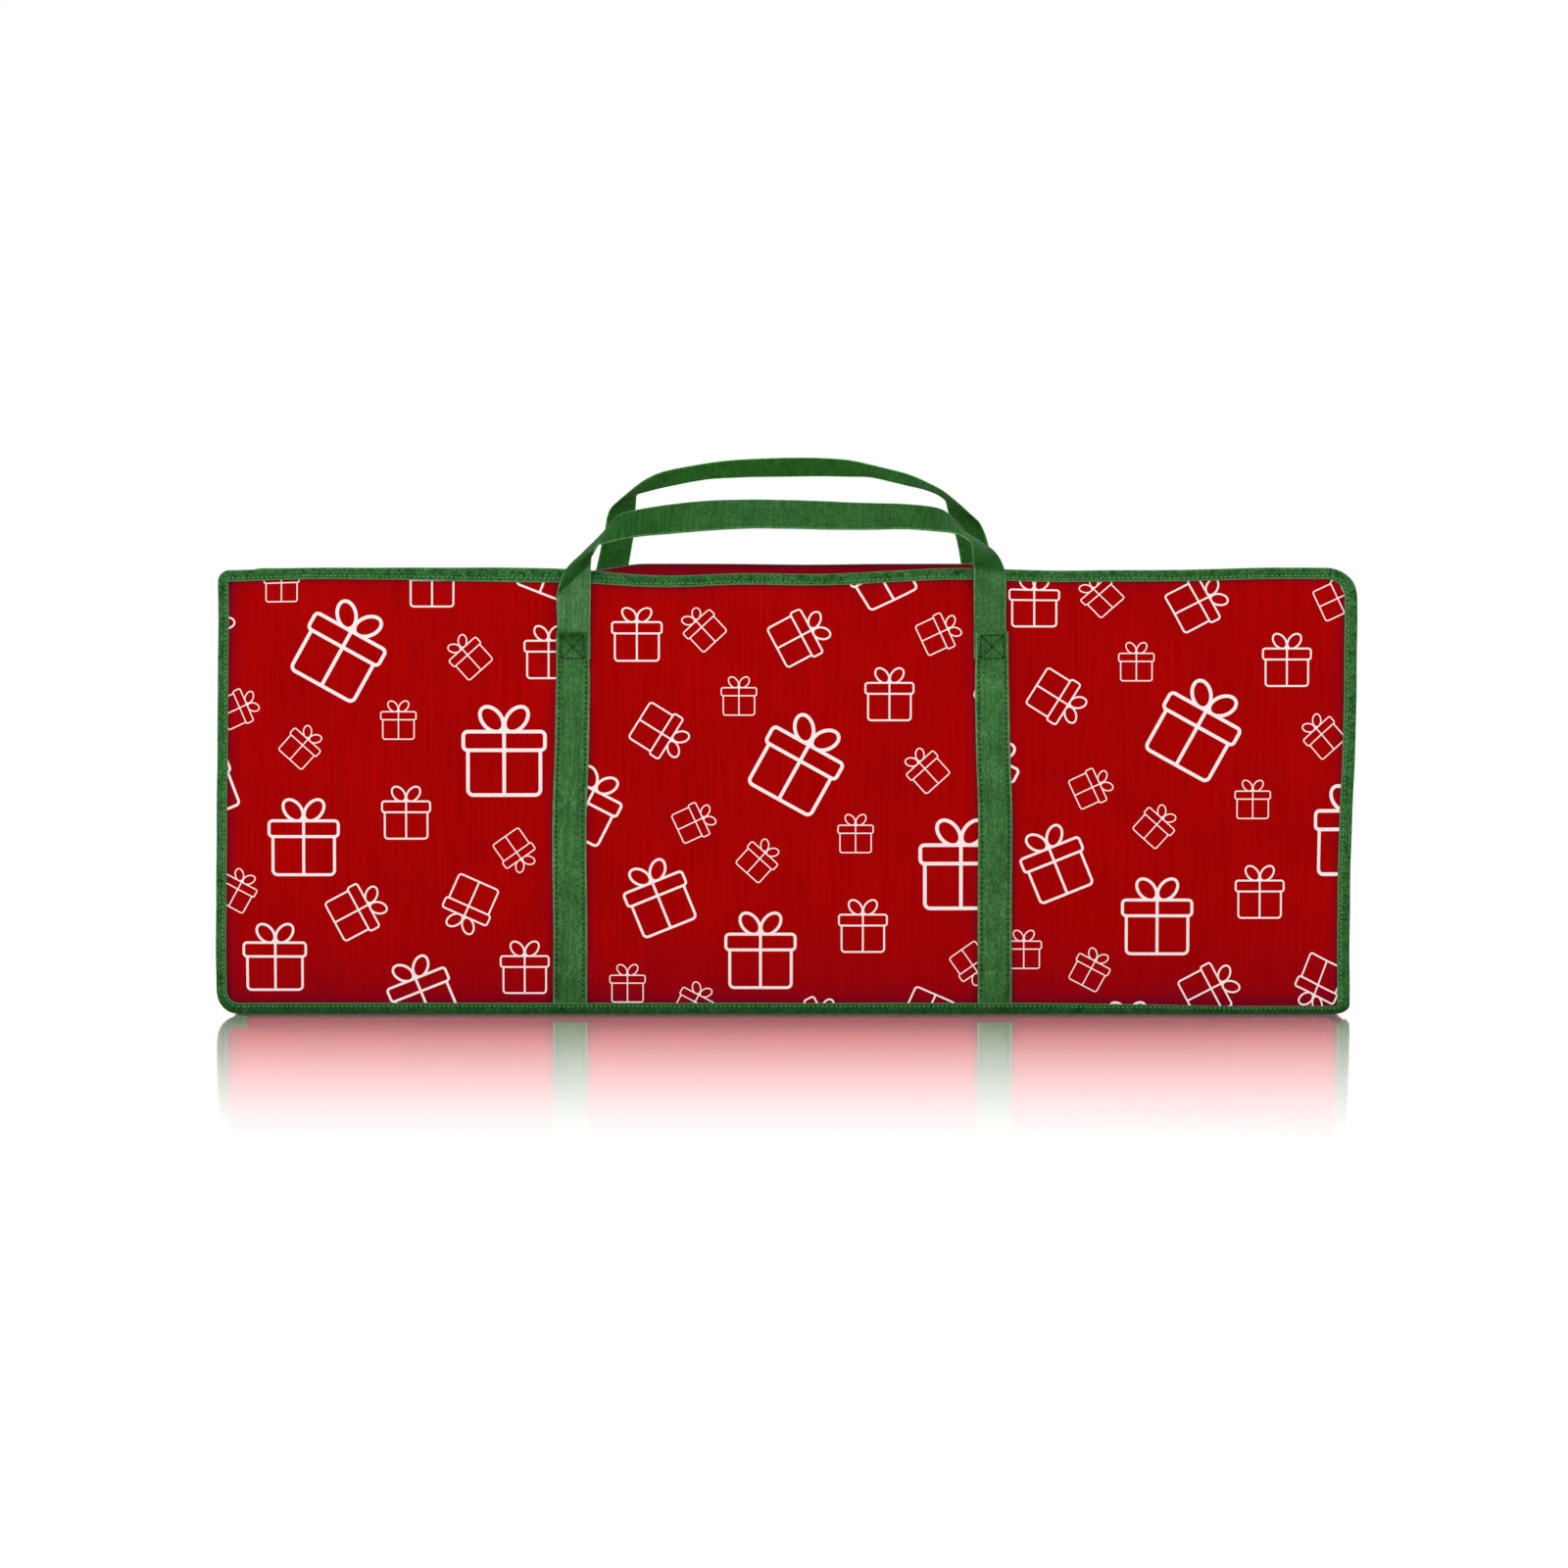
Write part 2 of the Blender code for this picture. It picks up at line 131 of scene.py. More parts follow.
def ease(start: float, end: float, value: float) -> float:
    """A smooth step in value, 0 before start and 1 after end."""
    share = min(max((value - start) / (end - start), 0.0), 1.0)
    return share * share * (3 - 2 * share)


def steps(start: float, end: float, size: float) -> list[float]:
    """Even stations from start to end, both among them, and no further apart than size."""
    count = max(1, math.ceil(abs(end - start) / size))
    return [start + (end - start) * i / count for i in range(count + 1)]


def bump(value: float, centre: float, reach: float) -> float:
    """A smooth hump, 1 at its centre."""
    return math.exp(-(((value - centre) / reach) ** 2))


def directions(count: int) -> list[float]:
    """Even directions once round, in radians."""
    return [math.tau * k / count for k in range(count)]


def blend_values(share: float, first: float, last: float, leaving: float, arriving: float) -> float:
    """A smooth course from one value to another.

    Args:
        share: How far along, from 0 to 1.
        first: Value at the start.
        last: Value at the end.
        leaving: What the start's rate would add over the whole way.
        arriving: What the end's rate would add over the whole way.

    Returns:
        The value.
    """
    square, cube = share ** 2, share ** 3
    return (
        (2 * cube - 3 * square + 1) * first + (cube - 2 * square + share) * leaving
        + (3 * square - 2 * cube) * last + (cube - square) * arriving
    )


def add_object(name: str, data: Any) -> Piece:
    """Put an object with its mesh, light or camera in the scene."""
    thing = bpy.data.objects.new(name, data)
    bpy.context.scene.collection.objects.link(thing)
    return thing


def aim(thing: Piece, place: Vector, target: Vector) -> None:
    """Stand a lamp or camera at a place and point it at a target."""
    thing.location = place
    thing.rotation_euler = (target - place).to_track_quat("-Z", "Y").to_euler()


def ripple(a: float, b: float, c: float = 0.0) -> float:
    """Smooth noise between about -1 and 1 at a point."""
    return noise.noise(Vector((a, b, c)))


@dataclass
class PieceMesh:
    """Points, faces and cloth coordinates gathered for one piece."""

    points: list[Vector] = field(default_factory=list)
    faces: list[tuple[int, ...]] = field(default_factory=list)
    cloth: list[tuple[float, float, float]] = field(default_factory=list)
    shade: list[float] = field(default_factory=list)

    def point(self, place: Vector, cloth: Sequence[float], shade: float = 0.0) -> int:
        """Add a point.

        Args:
            place: Where it is.
            cloth: Its distance across, along and out of the cloth.
            shade: How far its colour goes towards the finish's second one.

        Returns:
            The point's number.
        """
        self.points.append(place)
        self.cloth.append((cloth[0], cloth[1], cloth[2]))
        self.shade.append(shade)
        return len(self.points) - 1

    def shell(
        self,
        us: Sequence[float],
        vs: Sequence[float],
        put: Put,
        thickness: float,
        keep: Callable[[float, float], bool] | None = None,
        shade: Callable[[float, float], float] | None = None,
    ) -> None:
        """Add a closed sheet of cloth.

        Args:
            us: Stations across the cloth.
            vs: Stations along the cloth.
            put: Gives the place of a point from its u, v and height over the cloth.
            thickness: How thick the cloth is, inwards.
            keep: Says whether the patch with this middle exists. All do by default.
            shade: Gives a point's shade. None by default.
        """
        sides = []
        for height in (0.0, -thickness):
            sides.append([
                [self.point(put(u, v, height), (u, v, height), shade(u, v) if shade else 0.0) for v in vs]
                for u in us
            ])
        edges: dict[tuple[int, int], tuple[int, int]] = {}
        outer, inner = sides
        for i in range(len(us) - 1):
            for j in range(len(vs) - 1):
                if keep and not keep((us[i] + us[i + 1]) / 2, (vs[j] + vs[j + 1]) / 2):
                    continue
                corners = ((i, j), (i + 1, j), (i + 1, j + 1), (i, j + 1))
                self.faces.append(tuple(outer[a][b] for a, b in corners))
                self.faces.append(tuple(inner[a][b] for a, b in reversed(corners)))
                for (a, b), (c, d) in zip(corners, corners[1:] + corners[:1]):
                    first, second = outer[a][b], outer[c][d]
                    if edges.pop((second, first), None) is None:
                        edges[(first, second)] = (inner[a][b], inner[c][d])
        for (first, second), (below_first, below_second) in edges.items():
            self.faces.append((second, first, below_first, below_second))

    def swept(
        self,
        stations: Sequence[float],
        profile: Sequence[Flat],
        put: Put,
        shade: Callable[[float, float], float] | None = None,
        flow: Callable[[float, float, float], tuple[float, float, float]] | None = None,
    ) -> None:
        """Add a profile carried along a path.

        Args:
            stations: Distances along the path.
            profile: The section's closed outline, as distances across and out.
            put: Gives the place of a point from its distance along, across and out.
            shade: Gives a point's shade from its distance along and across. None by default.
            flow: Gives a point's cloth coordinates. Across, along and out by default.
        """
        self.skin([
            [
                self.point(
                    put(s, a, o), flow(s, a, o) if flow else (a, s, o), shade(s, a) if shade else 0.0)
                for a, o in profile
            ]
            for s in stations
        ])

    def skin(self, rings: Sequence[Sequence[int]]) -> None:
        """Join rings of points to a tube and close its ends.

        Args:
            rings: The numbers of each ring's points.
        """
        for ring, after in zip(rings, rings[1:]):
            for k in range(len(ring)):
                m = (k + 1) % len(ring)
                self.faces.append((ring[k], ring[m], after[m], after[k]))
        self.faces.append(tuple(reversed(rings[0])))
        self.faces.append(tuple(rings[-1]))

    def stitch(self, start: Vector, end: Vector, out: Vector, radius: float) -> None:
        """Add one stitch, a short arched length of thread.

        Args:
            start: Where the thread comes up.
            end: Where it goes down again.
            out: The way out of the cloth.
            radius: The thread's radius.
        """
        along = (end - start).normalized()
        side = along.cross(out).normalized()
        rings = []
        for share, girth in ((0.0, 0.45), (0.25, 0.95), (0.75, 0.95), (1.0, 0.45)):
            centre = start.lerp(end, share) + out * radius * (1.6 * girth - 0.9)
            rings.append([
                self.point(
                    centre + (side * math.cos(turn) + out * math.sin(turn)) * radius * girth,
                    (share * 0.003, turn * radius, 0.0),
                )
                for turn in (math.radians(90 * q + 45) for q in range(4))
            ])
        self.skin(rings)

    def build(self, name: str, finish: Material) -> Piece:
        """Make the object.

        Args:
            name: The piece's name.
            finish: The piece's material.

        Returns:
            The object, in the scene, with its faces pointing out.
        """
        mesh = bpy.data.meshes.new(name)
        mesh.from_pydata([tuple(p) for p in self.points], [], self.faces)
        flow = mesh.attributes.new(CLOTH, "FLOAT_VECTOR", "POINT")
        flow.data.foreach_set("vector", [value for place in self.cloth for value in place])
        tint = mesh.attributes.new(SHADE, "FLOAT", "POINT")
        tint.data.foreach_set("value", self.shade)
        worked = bmesh.new()
        worked.from_mesh(mesh)
        bmesh.ops.delete(worked, geom=[v for v in worked.verts if not v.link_faces], context="VERTS")
        bmesh.ops.recalc_face_normals(worked, faces=worked.faces)
        worked.to_mesh(mesh)
        worked.free()
        mesh.shade_smooth()
        mesh.set_sharp_from_angle(angle=math.radians(SHARP_ANGLE))
        mesh.materials.append(finish)
        piece = add_object(name, mesh)
        log.info("%s: %d faces", name, len(mesh.polygons))
        return piece


class NodeDesk:
    """The nodes of a material or group, added a line at a time."""

    def __init__(self, tree: bpy.types.NodeTree) -> None:
        """Start on a node tree."""
        self.nodes = tree.nodes
        self.links = tree.links

    def add(self, kind: str, inputs: dict[Any, Any] | None = None, **settings: Any) -> bpy.types.Node:
        """Add a node.

        Args:
            kind: The node's type.
            inputs: Values or sockets for its inputs, by name or number.
            settings: The node's own settings.

        Returns:
            The node.
        """
        node = self.nodes.new(kind)
        for key, value in settings.items():
            setattr(node, key, value)
        for key, value in (inputs or {}).items():
            if isinstance(value, Socket):
                self.links.new(value, node.inputs[key])
            else:
                node.inputs[key].default_value = value
        return node

    def maths(self, operation: str, first: Any, second: Any = 0.0) -> Socket:
        """The result of a Math node on two values or sockets."""
        return self.add("ShaderNodeMath", {0: first, 1: second}, operation=operation).outputs[0]

    def spread(
        self, value: Any, low: float, high: float, to_low: float = 0.0, to_high: float = 1.0
    ) -> Socket:
        """Stretch a value's range from low to high onto another, and hold it inside that."""
        numbers = {0: value, 1: low, 2: high, 3: to_low, 4: to_high}
        return self.add("ShaderNodeMapRange", numbers).outputs[0]

    def mix(self, share: Any, first: Any, second: Any) -> Socket:
        """A colour part of the way from the first to the second."""
        return self.add("ShaderNodeMix", {0: share, 6: first, 7: second}, data_type="RGBA").outputs[2]

    def tint(self, colour: Any, other: Any, pattern: Any, share: float) -> Socket:
        """A colour that goes by up to a share to another one where a pattern shows."""
        return self.mix(self.maths("MULTIPLY", pattern, share), colour, other)

    def across(self, cloth: Any) -> Socket:
        """The distance across the cloth."""
        return self.add("ShaderNodeSeparateXYZ", {0: cloth}).outputs[0]

    def noise(self, cloth: Any, across: float, along: float, detail: float = 3.0) -> Socket:
        """Noise drawn out over the cloth.

        Args:
            cloth: Cloth coordinates.
            across: Size of its patches across the cloth.
            along: Size of its patches along the cloth.
            detail: How many finer octaves it has.

        Returns:
            The noise, from 0 to 1.
        """
        scaled = self.add(
            "ShaderNodeVectorMath", {0: cloth, 1: (1 / across, 1 / along, 1 / across)},
            operation="MULTIPLY",
        )
        texture = self.add(
            "ShaderNodeTexNoise", {"Vector": scaled.outputs[0], "Scale": 1.0, "Detail": detail}
        )
        return texture.outputs[0]


@dataclass(frozen=True)
class Grain:
    """Uneven yarn: noise drawn out over the cloth, whose middle range is stretched onto another."""

    across: float
    along: float
    detail: float
    low: float
    high: float
    to_low: float = 0.0
    to_high: float = 1.0

    def draw(self, desk: NodeDesk, cloth: Any) -> Socket:
        """Add its nodes."""
        noise_value = desk.noise(cloth, self.across, self.along, self.detail)
        return desk.spread(noise_value, self.low, self.high, self.to_low, self.to_high)


STREAKS = Grain(across=0.0022, along=0.070, detail=4.0, low=0.35, high=0.68)
FLECKS = Grain(across=0.0013, along=0.0020, detail=3.0, low=0.42, high=0.72)


@dataclass(frozen=True)
class Effect:
    """A shader node group that several materials place, each with its own values."""

    name: str
    numbers: tuple[str, ...]
    results: tuple[str, ...]
    draw: Callable[[NodeDesk, dict[str, Any]], tuple[Any, ...]]

    def group(self) -> bpy.types.NodeTree:
        """The node group, built at its first use.

        Returns:
            The group, with a Cloth input, its numbers and its results.
        """
        found = bpy.data.node_groups.get(self.name)
        if found:
            return found
        tree = bpy.data.node_groups.new(self.name, "ShaderNodeTree")
        tree.interface.new_socket(name="Cloth", in_out="INPUT", socket_type="NodeSocketVector")
        for number in self.numbers:
            tree.interface.new_socket(name=number, in_out="INPUT", socket_type="NodeSocketFloat")
        for result in self.results:
            tree.interface.new_socket(name=result, in_out="OUTPUT", socket_type="NodeSocketFloat")
        desk = NodeDesk(tree)
        given = desk.add("NodeGroupInput")
        values = self.draw(desk, {socket.name: socket for socket in given.outputs})
        desk.add("NodeGroupOutput", dict(zip(self.results, values)))
        return tree

    def place(self, desk: NodeDesk, cloth: Any, **numbers: float) -> dict[str, Socket]:
        """Put the group in a material.

        Args:
            desk: The material's nodes.
            cloth: Cloth coordinates.
            numbers: The group's numbers, by name.

        Returns:
            Its results by name.
        """
        node = desk.add("ShaderNodeGroup", node_tree=self.group())
        desk.links.new(cloth, node.inputs["Cloth"])
        for key, value in numbers.items():
            node.inputs[key].default_value = value
        return {socket.name: socket for socket in node.outputs}


def draw_ribs(desk: NodeDesk, given: dict[str, Any]) -> tuple[Any, Any]:
    """Fine ribs that run along the cloth, with uneven threads.

    Args:
        desk: The group's nodes.
        given: Its input sockets.

    Returns:
        The height of the ribs and the streaks of lighter thread.
    """
    parts = desk.add("ShaderNodeSeparateXYZ", {0: given["Cloth"]})
    turns = desk.maths("DIVIDE", parts.outputs[0], given["Pitch"])
    wave = desk.maths("SINE", desk.maths("MULTIPLY", turns, math.tau))
    threads = desk.noise(given["Cloth"], 0.0009, 0.030, 2.0)
    crossing = desk.noise(given["Cloth"], 0.006, 0.0011, 1.0)
    height = desk.maths("ADD", desk.maths("MULTIPLY", wave, 0.30), desk.maths("ADD", threads, crossing))
    return height, STREAKS.draw(desk, given["Cloth"])


def draw_weave(desk: NodeDesk, given: dict[str, Any]) -> tuple[Any, Any]:
    """Over and under weave of heavy tape.

    Args:
        desk: The group's nodes.
        given: Its input sockets.

    Returns:
        The height of the weave and the flecks where light catches it.
    """
    parts = desk.add("ShaderNodeSeparateXYZ", {0: given["Cloth"]})
    waves = [
        desk.maths("SINE", desk.maths("MULTIPLY", desk.maths("DIVIDE", axis, given["Pitch"]), turn))
        for axis, turn in ((parts.outputs[0], math.tau), (parts.outputs[1], math.tau * 0.7))
    ]
    fuzz = desk.noise(given["Cloth"], 0.0008, 0.0013, 2.0)
    height = desk.maths("ADD", desk.maths("MULTIPLY", waves[0], waves[1]), fuzz)
    return height, FLECKS.draw(desk, given["Cloth"])


def draw_mottle(desk: NodeDesk, given: dict[str, Any]) -> tuple[Any]:
    """Soft patches where the dye took unevenly.

    Args:
        desk: The group's nodes.
        given: Its input sockets.

    Returns:
        The patches.
    """
    scaled = desk.add("ShaderNodeVectorMath", {0: given["Cloth"]}, operation="SCALE")
    desk.links.new(desk.maths("DIVIDE", 1.0, given["Size"]), scaled.inputs["Scale"])
    texture = desk.add(
        "ShaderNodeTexNoise", {"Vector": scaled.outputs[0], "Scale": 1.0, "Detail": 2.0}
    )
    return (desk.spread(texture.outputs[0], 0.35, 0.68),)


RIBS = Effect("fine_ribs", ("Pitch",), ("Height", "Streaks"), draw_ribs)
WEAVE = Effect("tape_weave", ("Pitch",), ("Height", "Flecks"), draw_weave)
MOTTLE = Effect("dye_mottle", ("Size",), ("Mottle",), draw_mottle)


@dataclass
class Look:
    """What a finish's own nodes give its shader."""

    colour: Socket
    height: Socket
    depth: float
    strength: float
    rough: tuple[Socket, float, float] | None = None


@dataclass(frozen=True)
class Finish:
    """A finish with one shader whose sockets hold what is the same all over it."""

    name: str
    colour: Colour
    roughness: float = 0.6
    metallic: float = 0.0
    specular: float = 0.5

    def draw(self, desk: NodeDesk, cloth: Socket) -> Look:
        """The finish's own look. Each kind of finish has its own."""
        raise NotImplementedError

    @staticmethod
    def shade(desk: NodeDesk) -> Socket:
        """How far a point's colour goes towards the darker second one: the painted shade."""
        return desk.add("ShaderNodeAttribute", attribute_name=SHADE).outputs["Fac"]

    def material(self) -> Material:
        """Make the material.

        Returns:
            The material, with the finish's look on its shader.
        """
        material = bpy.data.materials.new(self.name)
        material.use_nodes = True
        shader = material.node_tree.nodes["Principled BSDF"]
        shader.inputs["Base Color"].default_value = self.colour
        shader.inputs["Roughness"].default_value = self.roughness
        shader.inputs["Metallic"].default_value = self.metallic
        shader.inputs["Specular IOR Level"].default_value = self.specular
        desk = NodeDesk(material.node_tree)
        look = self.draw(desk, desk.add("ShaderNodeAttribute", attribute_name=CLOTH).outputs["Vector"])
        desk.links.new(look.colour, shader.inputs["Base Color"])
        if look.rough:
            pattern, low, high = look.rough
            desk.links.new(desk.spread(pattern, 0.0, 1.0, low, high), shader.inputs["Roughness"])
        relief = {"Height": look.height, "Distance": look.depth, "Strength": look.strength}
        desk.links.new(desk.add("ShaderNodeBump", relief).outputs[0], shader.inputs["Normal"])
        return material


@dataclass(frozen=True)
class RibbedCloth(Finish):
    """Woven cloth with fine upright ribs, and painted shade where its shade attribute is high."""

    streak: Colour = BLACK
    dull: Colour = BLACK
    drawn_in: Colour = BLACK
    pitch: float = 0.0014

    def draw(self, desk: NodeDesk, cloth: Socket) -> Look:
        """The cloth's look.

        Args:
            desk: The material's nodes.
            cloth: The piece's cloth coordinates.

        Returns:
            Ribs with streaks of lighter yarn, dull patches and painted shade.
        """
        ribs = RIBS.place(desk, cloth, Pitch=self.pitch)
        patches = MOTTLE.place(desk, cloth, Size=0.055)["Mottle"]
        colour = desk.tint(self.colour, self.streak, ribs["Streaks"], 0.85)
        colour = desk.tint(colour, self.dull, patches, 0.40)
        # Painted shade: the colour goes towards a dark purple red where the shade attribute is high.
        colour = desk.mix(self.shade(desk), colour, self.drawn_in)
        rough = (ribs["Streaks"], self.roughness + 0.06, self.roughness - 0.06)
        return Look(colour, ribs["Height"], 0.00012, 0.55, rough)


@dataclass(frozen=True)
class PrintInk(Finish):
    """Screen ink that lets the ribs under it show."""

    bare: Colour = srgb(255, 214, 210)

    def draw(self, desk: NodeDesk, cloth: Socket) -> Look:
        """The ink's look.

        Args:
            desk: The material's nodes.
            cloth: The piece's cloth coordinates.

        Returns:
            Ink that is thin on the streaks.
        """
        ribs = RIBS.place(desk, cloth, Pitch=0.0014)
        thin = desk.tint(self.colour, self.bare, ribs["Streaks"], 0.25)
        return Look(thin, ribs["Height"], 0.0001, 0.12)


@dataclass(frozen=True)
class Webbing(Finish):
    """Heavy woven tape with flecks and a paler selvage along both edges."""

    fleck: Colour = BLACK
    selvage: Colour = BLACK
    second: Colour = BLACK
    grain: Flat = (0.0012, 0.030)
    second_grain: Flat = (0.030, 0.0015)
    tufts: Grain = Grain(0.0014, 0.0024, detail=2.0, low=0.38, high=0.64, to_low=0.80, to_high=1.20)
    half_width: float = 0.0125

    def draw(self, desk: NodeDesk, cloth: Socket) -> Look:
        """The webbing's look.

        Args:
            desk: The material's nodes.
            cloth: The piece's cloth coordinates.

        Returns:
            Flecked weave, going to the darker second colour where shade is painted.
        """
        weave = WEAVE.place(desk, cloth, Pitch=0.0014)
        shade_share = self.shade(desk)
        grains = [
            Grain(*self.grain, 3.0, 0.36, 0.66, 0.78, 1.18).draw(desk, cloth),
            Grain(*self.second_grain, 2.0, 0.36, 0.66, 0.76, 1.22).draw(desk, cloth),
        ]
        lines = desk.add("ShaderNodeMix", {0: shade_share, 2: grains[0], 3: grains[1]}).outputs[0]
        patches = MOTTLE.place(desk, cloth, Size=0.020)["Mottle"]
        dark = desk.mix(patches, self.second, scaled(self.second, 0.80))
        colour = desk.tint(self.colour, self.fleck, weave["Flecks"], 0.60)
        colour = desk.tint(colour, self.second, patches, 0.50)
        # Painted shade: the colour goes to the darker second one where the shade attribute is high.
        colour = desk.mix(shade_share, colour, dark)
        sideways = desk.maths("ABSOLUTE", desk.across(cloth))
        edge = desk.spread(sideways, self.half_width - 0.0014, self.half_width - 0.0006)
        colour = desk.tint(colour, self.selvage, edge, 0.60)
        for pattern in (lines, self.tufts.draw(desk, cloth)):
            worked = desk.add("ShaderNodeVectorMath", {0: colour}, operation="MULTIPLY")
            desk.links.new(pattern, worked.inputs[1])
            colour = worked.outputs[0]
        rough = (weave["Flecks"], self.roughness + 0.05, self.roughness - 0.10)
        return Look(colour, weave["Height"], 0.00022, 0.60, rough)


@dataclass(frozen=True)
class BindingTape(Finish):
    """Soft folded tape, creased across with painted shade in the creases, and with a paler edge."""

    crease: Colour = BLACK
    worn: Colour = BLACK
    width: float = 0.0095
    creases: Grain = Grain(across=0.0085, along=0.0050, detail=3.0, low=0.38, high=0.66)
    tufts: Grain = Grain(across=0.0024, along=0.0028, detail=2.0, low=0.44, high=0.68)

    def draw(self, desk: NodeDesk, cloth: Socket) -> Look:
        """The tape's look.

        Args:
            desk: The material's nodes.
            cloth: The piece's cloth coordinates.

        Returns:
            Creased weave, rubbed pale in patches and along both edges.
        """
        weave = WEAVE.place(desk, cloth, Pitch=0.0009)
        creases = self.creases.draw(desk, cloth)
        patches = MOTTLE.place(desk, cloth, Size=0.014)["Mottle"]
        across = desk.across(cloth)
        # Painted shade: darker in the creases, and on the bottom run where the shade attribute is high.
        colour = desk.mix(creases, self.colour, self.crease)
        colour = desk.tint(colour, self.worn, desk.maths("MULTIPLY", weave["Flecks"], patches), 0.85)
        colour = desk.tint(colour, self.worn, self.tufts.draw(desk, cloth), 0.36)
        colour = desk.mix(self.shade(desk), colour, self.crease)
        colour = desk.tint(colour, self.worn, desk.spread(across, 0.0012, 0.0004), 0.40)
        inner = desk.spread(across, self.width - 0.0014, self.width - 0.0007)
        colour = desk.tint(colour, self.worn, inner, 0.60)
        height = desk.maths("ADD", desk.maths("MULTIPLY", creases, 2.0), weave["Height"])
        return Look(colour, height, 0.00016, 0.55)


@dataclass(frozen=True)
class FineCloth(Finish):
    """Thread, zip tape and other fine textile with an even colour."""

    pitch: float = 0.0006
    depth: float = 0.00008

    def draw(self, desk: NodeDesk, cloth: Socket) -> Look:
        """A fine weave with paler flecks."""
        weave = WEAVE.place(desk, cloth, Pitch=self.pitch)
        flecked = desk.tint(self.colour, scaled(self.colour, 1.5, 0.004), weave["Flecks"], 0.5)
        return Look(flecked, weave["Height"], self.depth, 0.6)


@dataclass(frozen=True)
class Moulded(Finish):
    """Enamel or moulded plastic, rubbed brighter in patches."""

    rubbed: float = 0.15

    def draw(self, desk: NodeDesk, cloth: Socket) -> Look:
        """A smooth skin with brighter, rougher patches."""
        patches = MOTTLE.place(desk, cloth, Size=0.004)["Mottle"]
        worn = desk.tint(self.colour, scaled(self.colour, 1.8, 0.01), patches, 0.5)
        rough = (patches, self.roughness, self.roughness + self.rubbed)
        return Look(worn, patches, 0.00004, 0.4, rough)


@dataclass(frozen=True)
class Materials:
    """Every material of the bag, made once."""

    cloth: Material
    lining: Material
    ink: Material
    binding: Material
    webbing: Material
    front_loop: Material
    back_loop: Material
    thread: Material
    pale_thread: Material
    zip_tape: Material
    zip_teeth: Material
    enamel: Material
    board: Material

    @classmethod
    def make(cls) -> "Materials":
        """Make the bag's materials."""
        # The dark purple red of painted shade beside seams, straps and binding.
        drawn_in = srgb(82, 4, 34)
        return cls(
            cloth=RibbedCloth(
                "red_ribbed_cloth", srgb(162, 0, 0), 0.75, specular=0.02,
                streak=srgb(177, 3, 1), dull=srgb(147, 0, 5), drawn_in=drawn_in,
            ).material(),
            # Painted shade: the red cloth made darker for the top flaps, which lie in shade.
            lining=RibbedCloth(
                "dark_red_ribbed_cloth", srgb(122, 6, 20), 0.80, specular=0.0,
                streak=srgb(134, 8, 24), dull=srgb(106, 4, 18), drawn_in=drawn_in,
            ).material(),
            ink=PrintInk("white_print_ink", srgb(255, 240, 238), 0.60, specular=0.05).material(),
            binding=BindingTape(
                "green_binding_tape", srgb(32, 92, 33), 0.75, specular=0.04,
                crease=srgb(12, 56, 18), worn=srgb(92, 148, 92),
            ).material(),
            # The strap's darker second colour is painted shade on its folded head and foot.
            webbing=Webbing(
                "green_strap_webbing", srgb(56, 110, 54), 0.66, specular=0.08,
                fleck=srgb(98, 150, 96), selvage=srgb(108, 158, 108), second=srgb(32, 82, 30),
                second_grain=(0.0011, 0.030),
            ).material(),
            # Painted light and shade: the lit main colour on the loop's legs, the darker second one past its
            # creases.
            front_loop=Webbing(
                "green_front_loop_webbing", srgb(72, 124, 71), 0.66, specular=0.08,
                fleck=srgb(98, 148, 96), selvage=srgb(96, 148, 96), second=srgb(34, 88, 31),
            ).material(),
            # Painted light: the bright main colour lights the inside of the loop's crown, which lies in
            # shade.
            back_loop=Webbing(
                "green_back_loop_webbing", srgb(60, 160, 54), 0.70, specular=0.04,
                fleck=srgb(54, 154, 48), selvage=srgb(70, 162, 64), second=srgb(46, 108, 42),
                grain=(0.030, 0.0015),
            ).material(),
            thread=FineCloth("dark_green_thread", srgb(10, 46, 16), 0.7, specular=0.05).material(),
            pale_thread=FineCloth("green_thread", srgb(122, 172, 112), 0.7, specular=0.05).material(),
            zip_tape=FineCloth(
                "black_zip_tape", srgb(24, 22, 23), 0.8, specular=0.02, pitch=0.0008,
            ).material(),
            zip_teeth=Moulded("black_zip_teeth", srgb(44, 44, 46), 0.32).material(),
            enamel=Moulded("black_enamel", srgb(52, 52, 55), 0.28, metallic=0.35).material(),
            board=Moulded("grey_stiff_board", srgb(148, 146, 140), 0.75).material(),
        )


